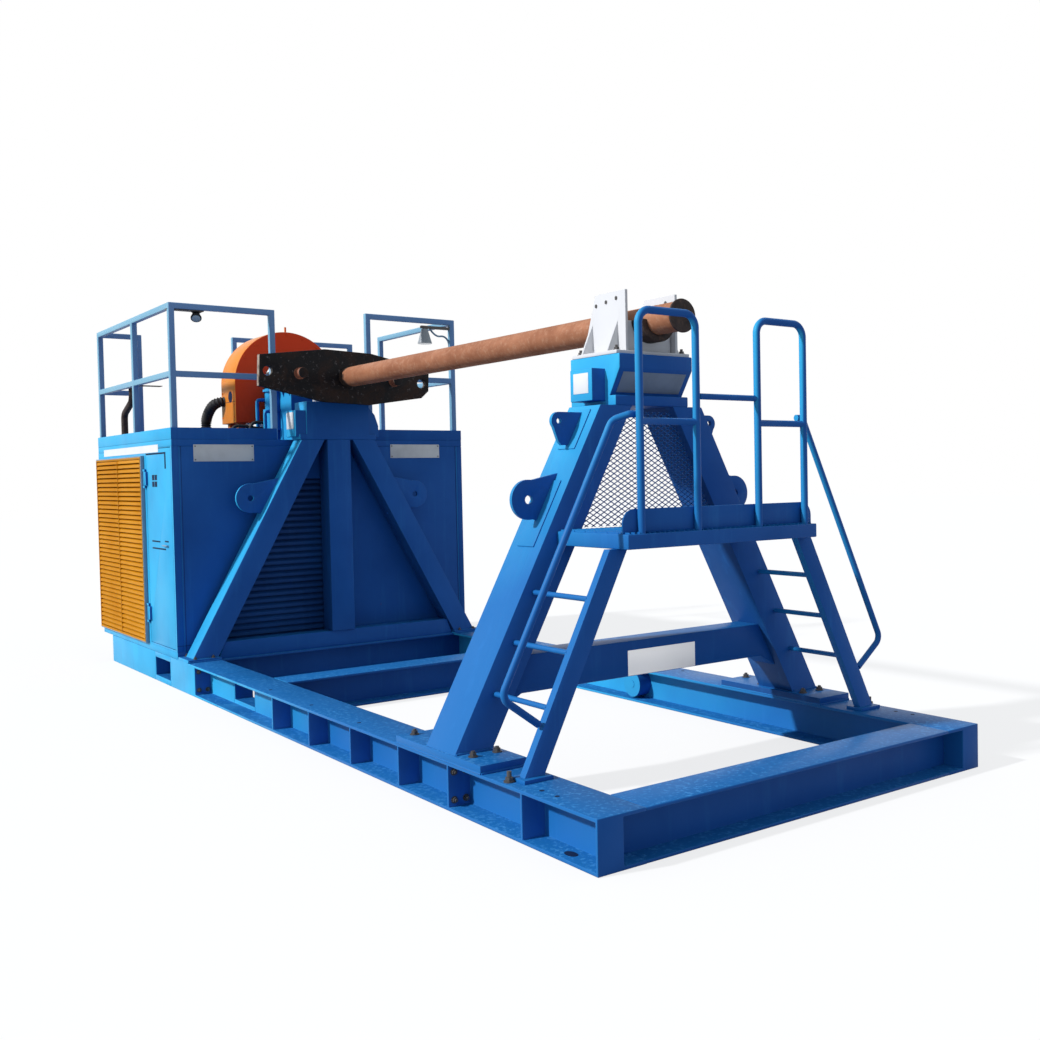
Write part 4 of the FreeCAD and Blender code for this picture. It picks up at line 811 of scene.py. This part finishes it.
def gearDetails():
    shaftLow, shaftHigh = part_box("shaft")
    shaftHeight = (shaftLow.z + shaftHigh.z) / 2
    half = gear["flangeThick"] / 2
    radius = gear["flangeRadius"]
    reach = radius - gear["boltInset"]
    shape = bmesh.new()
    bolts = bmesh.new()
    for setback in gear["flanges"]:
        x = at(setback)
        addRod(shape, (x - half, 0, shaftHeight), (x + half, 0, shaftHeight), radius, 48)
        for step in range(gear["bolts"]):
            angle = 2 * math.pi * step / gear["bolts"]
            place = (x + half, math.cos(angle) * reach, shaftHeight + math.sin(angle) * reach)
            addBolt(bolts, place, (1, 0, 0), gear["boltSize"])
    x, y, radius = at(motor["setback"]), motor["y"], motor["radius"]
    low = motor["low"]
    addRod(shape, (x, y, low), (x, y, motor["high"]), radius, 28)
    for z in motor["rings"]:
        addRod(shape, (x, y, z), (x, y, z + motor["ringThick"]), radius * motor["ringShare"], 28)
    addRod(shape, (x, y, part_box("container_roof")[1].z), (x, y, low + motor["footOver"]),
           radius * motor["footShare"], 20)
    for name, offset, z in motor["pipes"]:
        side = x + offset
        out = y - motor["pipeOut"]
        pipe = [(side, y - motor["pipeStart"], z), (side, y - motor["pipeBend"], z), (side, out, z - 0.01),
                (side, out, z - 0.05), (side, out, motor["pipeFoot"])]
        finishPiece(name, hoseShape(pipe, motor["pipeRadius"]), bluePaint)
    finishPiece("gearFlanges", shape, bluePaint)
    finishPiece("gearBolts", bolts, darkPaint)


lugPlate = {"on": {"drive_head": (6.025, 5.865, 2.235, 2.385), "outboard_head": (1.56, 1.41, 2.255, 2.375)},
            "proud": 0.002, "sunk": 0.001, "soft": 0.001}


# Small white plates on the near sides of the lug boxes
def lugPlates():
    shape = bmesh.new()
    for head, (back, front, z0, z1) in lugPlate["on"].items():
        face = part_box(head)[0].y
        addBlock(shape, (at(back), face - lugPlate["proud"], z0), (at(front), face + lugPlate["sunk"], z1),
                 lugPlate["soft"])
    finishPiece("lugPlates", shape, plateWhite)


roofLamps()
exhaustFlap()
guardDetails()
gearDetails()
lugPlates()
print("roof details made")


# Drive pins and bearing details
pins = {"reach": 0.445, "tilt": -2.4, "radius": 0.045, "start": 0.004, "tip": (0.008, 0.0004),
        "tipRadius": 0.037, "collar": (-0.001, 0.008), "collarRadius": 0.052, "sides": 28}


def pinSleeves():
    shaftLow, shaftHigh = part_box("shaft")
    shaftHeight = (shaftLow.z + shaftHigh.z) / 2
    armFront = shaftLow.x
    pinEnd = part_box("drive_arm")[1].x
    lean = math.radians(pins["tilt"])
    shape = bmesh.new()
    for side in (-1, 1):
        y = side * pins["reach"] * math.cos(lean)
        z = shaftHeight + side * pins["reach"] * math.sin(lean)
        shoulder, tip = ((pinEnd - back, y, z) for back in pins["tip"])
        addRod(shape, (armFront + pins["start"], y, z), shoulder, pins["radius"], pins["sides"])
        addRod(shape, shoulder, tip, pins["radius"], pins["sides"], pins["tipRadius"])
        back, front = ((armFront + offset, y, z) for offset in pins["collar"])
        addRod(shape, back, front, pins["collarRadius"], pins["sides"])
    finishPiece("pinSleeves", shape, pinRust, "rotor")


bearing = {"tabs": (1.36, 1.46, 1.56), "tabRadius": 0.013, "tabSide": 0.19, "tabHalf": 0.0125,
           "tabDrop": 0.055, "tabMiddle": 1.46, "tabSlope": 0.12,
           "bolts": (1.30, 1.66), "boltSide": 0.25, "boltLift": 0.022, "boltSize": 0.016, "boltStud": 0.014}


# Small tabs along the cheeks' top edges, and the foot plate's bolts
def bearingDetails():
    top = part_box("bearing_foot")[1].z
    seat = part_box("outboard_head")[1].z + bearing["boltLift"]
    half = bearing["tabHalf"]
    tabs = bmesh.new()
    bolts = bmesh.new()
    for side in (-1, 1):
        y = side * bearing["tabSide"]
        for setback in bearing["tabs"]:
            z = top - bearing["tabDrop"] + (bearing["tabMiddle"] - setback) * bearing["tabSlope"]
            addRod(tabs, (at(setback), y - half, z), (at(setback), y + half, z), bearing["tabRadius"], 6)
        for setback in bearing["bolts"]:
            addBolt(bolts, (at(setback), side * bearing["boltSide"], seat), (0, 0, 1), bearing["boltSize"],
                    bearing["boltStud"])
    finishPiece("bearingTabs", tabs, boltZinc)
    finishPiece("bearingBolts", bolts, boltZinc)


pinSleeves()
bearingDetails()
print("bearing details made")


# Outboard frame: plain plates, doublers and platform grating
plainPlates = {"tie": (-0.18, 0.35, 0.570, 0.722), "thick": 0.003, "soft": 0.001, "headHalf": 0.240,
               "headShare": 0.37, "slopeTop": 0.085, "slopeBack": 0.103, "slopeFoot": 2.24}


# One plate stands on the tie beam, the other on the head's sloping front
def platesOnOutboard():
    thick = plainPlates["thick"]
    shape = bmesh.new()
    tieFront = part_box("outboard_tie_beam")[1].x
    y0, y1, z0, z1 = plainPlates["tie"]
    addBlock(shape, (tieFront, y0, z0), (tieFront + thick, y1, z1), plainPlates["soft"])
    finishPiece("tieSign", shape, plateBright)
    shape = bmesh.new()
    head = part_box("outboard_head")[1]
    top = Vector((head.x, 0, head.z - plainPlates["slopeTop"]))
    foot = Vector((head.x - plainPlates["slopeBack"], 0, plainPlates["slopeFoot"]))
    along = (top - foot).normalized()
    normal = Vector((along.z, 0, -along.x))
    middle = top.lerp(foot, 0.5) + normal * thick / 2
    turn = Matrix((normal, Vector((0, 1, 0)), along)).transposed().to_4x4()
    half = Vector((thick / 2, plainPlates["headHalf"], (top - foot).length * plainPlates["headShare"]))
    addBlock(shape, middle - half, middle + half, plainPlates["soft"], turn)
    # The head's plate is darkened with painted shade
    finishPiece("headSign", shape, plateWithPaintedShade)


# The legs' outer faces run from legFoot to legTop, both in Y and Z
doublers = {"legFoot": (1.390, 0.305), "legTop": (0.389, 2.180), "setback": 1.438, "width": 0.17,
            "halfThick": 0.007, "soft": 0.003, "heights": (2.04, 1.56), "halfLengths": (0.13, 0.21)}


def doublerPlates():
    (footY, footZ), (topY, topZ) = doublers["legFoot"], doublers["legTop"]
    lean = math.atan2(footY - topY, topZ - footZ)
    shape = bmesh.new()
    for side in (-1, 1):
        turn = Matrix.Rotation(side * lean, 4, "X")
        for z, halfLength in zip(doublers["heights"], doublers["halfLengths"]):
            y = footY + (topY - footY) * (z - footZ) / (topZ - footZ)
            place = Vector((at(doublers["setback"]), side * y, z))
            half = Vector((doublers["width"] / 2, doublers["halfThick"], halfLength))
            addBlock(shape, place - half, place + half, doublers["soft"], turn)
    finishPiece("doublerPlates", shape, wetPaint)


grating = {"pitch": 0.034, "bar": 0.004, "rise": 0.009, "sunk": 0.001, "sideInset": 0.015,
           "aheadOfMesh": 0.07, "frontInset": 0.006,
           "crossPitch": 0.10, "crossStart": 0.03, "crossBar": 0.006, "crossInset": 0.01, "crossShare": 0.8}


def platformGrating():
    low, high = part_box("platform_floor")
    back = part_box("mesh_guard")[1].x + grating["aheadOfMesh"]
    front = high.x - grating["frontInset"]
    foot = high.z - grating["sunk"]
    half = grating["bar"] / 2
    shape = bmesh.new()
    count = int((high.y - low.y - 2 * grating["sideInset"]) / grating["pitch"])
    for step in range(count + 1):
        y = low.y + grating["sideInset"] + step * grating["pitch"]
        addBlock(shape, (back, y - half, foot), (front, y + half, high.z + grating["rise"]))
    half = grating["crossBar"] / 2
    top = high.z + grating["rise"] * grating["crossShare"]
    for step in range(int((front - back) / grating["crossPitch"])):
        x = back + grating["crossStart"] + step * grating["crossPitch"]
        addBlock(shape, (x - half, low.y + grating["crossInset"], foot),
                 (x + half, high.y - grating["crossInset"], top))
    finishPiece("platformGrating", shape, bluePaint)


platesOnOutboard()
doublerPlates()
platformGrating()
print("outboard details made")


# Base: joint bolts, foot plate bolts, drain holes, lashing discs and weld beads
jointBolts = {"setbacks": (1.34, 5.61), "fromWeb": (0.035, 0.105), "heights": (0.055, 0.205), "plate": 0.015,
              "size": 0.015, "stud": 0.012}
uprightBolts = {"outboardFeet": ((1.886, 1.311), (1.195, 1.328), (1.202, 1.177), (1.62, 1.20)),  # setback, Y
                "outboardTop": 0.305, "outboardSize": (0.02, 0.01),
                "driveFeet": ((5.79, 1.185), (6.02, 1.185), (5.79, 1.335), (6.02, 1.335)),
                "driveTop": 0.285, "driveSize": (0.013, 0.008),
                "beam": (0.79, 1.359), "beamSize": (0.022, 0.03)}


def baseBolts():
    low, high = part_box("side_beam_near_front")
    web = abs(low.y + high.y) / 2
    bolts = bmesh.new()
    for setback in jointBolts["setbacks"]:
        x = at(setback)
        for side in (-1, 1):
            for offset in jointBolts["fromWeb"]:
                y = side * (web + offset)
                for z in jointBolts["heights"]:
                    addBolt(bolts, (x, y, z), (1, 0, 0), jointBolts["size"], jointBolts["stud"])
                    addBolt(bolts, (x - jointBolts["plate"], y, z), (-1, 0, 0), jointBolts["size"])
    for side in (-1, 1):
        for setback, y in uprightBolts["outboardFeet"]:
            addBolt(bolts, (at(setback), side * y, uprightBolts["outboardTop"]), (0, 0, 1),
                    *uprightBolts["outboardSize"])
        for setback, y in uprightBolts["driveFeet"]:
            addBolt(bolts, (at(setback), side * y, uprightBolts["driveTop"]), (0, 0, 1),
                    *uprightBolts["driveSize"])
        setback, y = uprightBolts["beam"]
        addBolt(bolts, (at(setback), side * y, high.z), (0, 0, 1), *uprightBolts["beamSize"])
    finishPiece("baseBolts", bolts, boltZinc)


drains = {"oval": (0.299, 1.335, 0.018), "ovalHalf": (0.045, 0.026), "round": (0.42, 0.55, 2.6, 3.35, 4.1),
          "roundY": 1.325, "roundRadius": 0.013, "sunk": 0.001, "proud": 0.0008}


def drainHoles():
    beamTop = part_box("side_beam_near_front")[1].z
    sunk, proud = drains["sunk"], drains["proud"]
    # Painted shade where the drain holes are
    holes = bmesh.new()
    setback, y, z = drains["oval"]
    for side in (-1, 1):
        made = addRod(holes, (0, 0, -sunk), (0, 0, proud), 1.0, 24)
        bmesh.ops.scale(holes, vec=(*drains["ovalHalf"], 1.0), verts=made)
        bmesh.ops.translate(holes, vec=(at(setback), side * y, z), verts=made)
    for setback in drains["round"]:
        for side in (-1, 1):
            y = side * drains["roundY"]
            addRod(holes, (at(setback), y, beamTop - sunk), (at(setback), y, beamTop + proud),
                   drains["roundRadius"], 16)
    finishPiece("drainHoles", holes, jointsAndPaintedShade)


lashing = {"setback": 3.0, "height": 0.13, "radius": 0.10, "web": 0.133, "face": 0.02, "bossRadius": 0.03,
           "boss": (0.021, 0.017)}


def lashingDiscs():
    x, z = at(lashing["setback"]), lashing["height"]
    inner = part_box("side_beam_far_front")[0].y
    disc = bmesh.new()
    for side in (-1, 1):
        web, face = (side * (inner + lashing[end]) for end in ("web", "face"))
        addRod(disc, (x, web, z), (x, face, z), lashing["radius"], 36)
        foot, top = (side * (inner + offset) for offset in lashing["boss"])
        addRod(disc, (x, foot, z), (x, top, z), lashing["bossRadius"], 20)
    finishPiece("lashingDiscs", disc, bluePaint)


weld = {"radius": 0.007, "height": 0.264, "feet": ((1.94, 1.00), (6.04, 5.77)), "outer": 0.004,
        "inner": 0.276, "past": 0.001, "stiffeners": (1.275, 1.60), "stiffenerEnds": (1.385, 1.165),
        "stiffenerHeight": 0.308}


# Weld beads where the frames' feet and stiffeners meet what carries them
def weldBeads():
    edge = abs(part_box("side_beam_near_front")[0].y)
    radius, z = weld["radius"], weld["height"]
    shape = bmesh.new()
    for back, front in weld["feet"]:
        for side in (-1, 1):
            outer, inner = side * (edge - weld["outer"]), side * (edge - weld["inner"])
            for y in (outer, inner):
                addRod(shape, (at(back), y, z), (at(front), y, z), radius, 8)
            for setback in (back + weld["past"], front - weld["past"]):
                addRod(shape, (at(setback), outer, z), (at(setback), inner, z), radius, 8)
    z = weld["stiffenerHeight"]
    for setback in weld["stiffeners"]:
        for side in (-1, 1):
            outer, inner = (side * y for y in weld["stiffenerEnds"])
            addRod(shape, (at(setback), outer, z), (at(setback), inner, z), radius, 8)
    finishPiece("weldBeads", shape, wetPaint)


baseBolts()
drainHoles()
lashingDiscs()
weldBeads()
print("base details made")


# Studio
photo = {"pixels": 1040, "focal": 1136.266, "middleX": 643.588, "middleY": 510.608, "yaw": 141.397,
         "pitch": -1.817, "roll": -1.033, "place": (8.457, -4.306, 1.771), "sensor": 36.0}


def makeCamera():
    yaw, pitch, roll = (math.radians(photo[key]) for key in ("yaw", "pitch", "roll"))
    ahead = Vector((math.cos(yaw) * math.cos(pitch), math.sin(yaw) * math.cos(pitch), math.sin(pitch)))
    right = ahead.cross(Vector((0, 0, 1))).normalized()
    up = right.cross(ahead)
    rightRolled = right * math.cos(roll) + up * math.sin(roll)
    upRolled = up * math.cos(roll) - right * math.sin(roll)
    camera = bpy.data.cameras.new("camera")
    camera.sensor_width = photo["sensor"]
    camera.lens = photo["focal"] * photo["sensor"] / photo["pixels"]
    camera.shift_x = (photo["pixels"] / 2 - photo["middleX"]) / photo["pixels"]
    camera.shift_y = (photo["middleY"] - photo["pixels"] / 2) / photo["pixels"]
    holder = bpy.data.objects.new("camera", camera)
    scene.collection.objects.link(holder)
    turn = Matrix((rightRolled, upRolled, -ahead)).transposed()
    holder.matrix_world = Matrix.Translation(photo["place"]) @ turn.to_4x4()
    scene.camera = holder


studio = {"sun": 3.5, "sunFrom": (-0.25, -1.0, 0.72), "sunAngle": 3.0, "sky": 0.50,
          "skyTint": (0.78, 0.89, 1.0), "floor": 0.38, "floorHalf": 60.0, "floorDrop": 0.002,
          "floorSeen": (0.95, 0.95, 0.96), "shadow": 0.22}


# One for what the camera sees straight, in a reflection or through glass, and none for what lights the model
def seenDirectly(tree):
    path = addNode(tree, "ShaderNodeLightPath")
    seen = combine(tree, "MAXIMUM", path.outputs["Is Camera Ray"], path.outputs["Is Glossy Ray"])
    return combine(tree, "MAXIMUM", seen, path.outputs["Is Transmission Ray"])


def mixShaders(tree, share, first, second):
    mix = addNode(tree, "ShaderNodeMixShader")
    if isinstance(share, float):
        mix.inputs[0].default_value = share
    else:
        tree.links.new(share, mix.inputs[0])
    tree.links.new(first.outputs[0], mix.inputs[1])
    tree.links.new(second.outputs[0], mix.inputs[2])
    return mix


def colouredShader(tree, kind, colour):
    shader = addNode(tree, kind)
    shader.inputs["Color"].default_value = (*colour, 1.0)
    return shader


def makeSun():
    sun = bpy.data.lights.new("sun", "SUN")
    sun.energy = studio["sun"]
    sun.angle = math.radians(studio["sunAngle"])
    lamp = bpy.data.objects.new("sun", sun)
    lamp.rotation_mode = "QUATERNION"
    lamp.rotation_quaternion = Vector(studio["sunFrom"]).to_track_quat("Z", "Y")
    scene.collection.objects.link(lamp)


# Pale blue light on the model, and plain white behind it
def makeSky():
    world = bpy.data.worlds.new("world")
    world.use_nodes = True
    tree = world.node_tree
    light = tree.nodes["Background"]
    light.inputs["Color"].default_value = (*studio["skyTint"], 1.0)
    light.inputs["Strength"].default_value = studio["sky"]
    backdrop = colouredShader(tree, "ShaderNodeBackground", (1.0, 1.0, 1.0))
    backdrop.inputs["Strength"].default_value = 1.0
    mix = mixShaders(tree, seenDirectly(tree), light, backdrop)
    tree.links.new(mix.outputs[0], tree.nodes["World Output"].inputs["Surface"])
    scene.world = world


# A grey floor for the light it throws back, seen as white with a faint shadow
def makeFloor():
    shape = bmesh.new()
    bmesh.ops.create_grid(shape, x_segments=1, y_segments=1, size=studio["floorHalf"])
    bmesh.ops.translate(shape, vec=(0, 0, cadLow.z - studio["floorDrop"]), verts=shape.verts)
    mesh = bpy.data.meshes.new("floor")
    shape.to_mesh(mesh)
    shape.free()
    floor = bpy.data.objects.new("floor", mesh)
    scene.collection.objects.link(floor)
    pale = bpy.data.materials.new("paleFloor")
    pale.use_nodes = True
    tree = pale.node_tree
    tree.nodes.remove(tree.nodes["Principled BSDF"])
    dull = colouredShader(tree, "ShaderNodeBsdfDiffuse", (studio["floor"],) * 3)
    glow = addNode(tree, "ShaderNodeEmission")
    glow.inputs["Strength"].default_value = 1.0
    lit = colouredShader(tree, "ShaderNodeBsdfDiffuse", studio["floorSeen"])
    mix = mixShaders(tree, seenDirectly(tree), dull, mixShaders(tree, studio["shadow"], glow, lit))
    tree.links.new(mix.outputs[0], tree.nodes["Material Output"].inputs["Surface"])
    mesh.materials.append(pale)


makeCamera()
makeSun()
makeSky()
makeFloor()
scene.view_settings.view_transform = "Standard"
print("studio made")
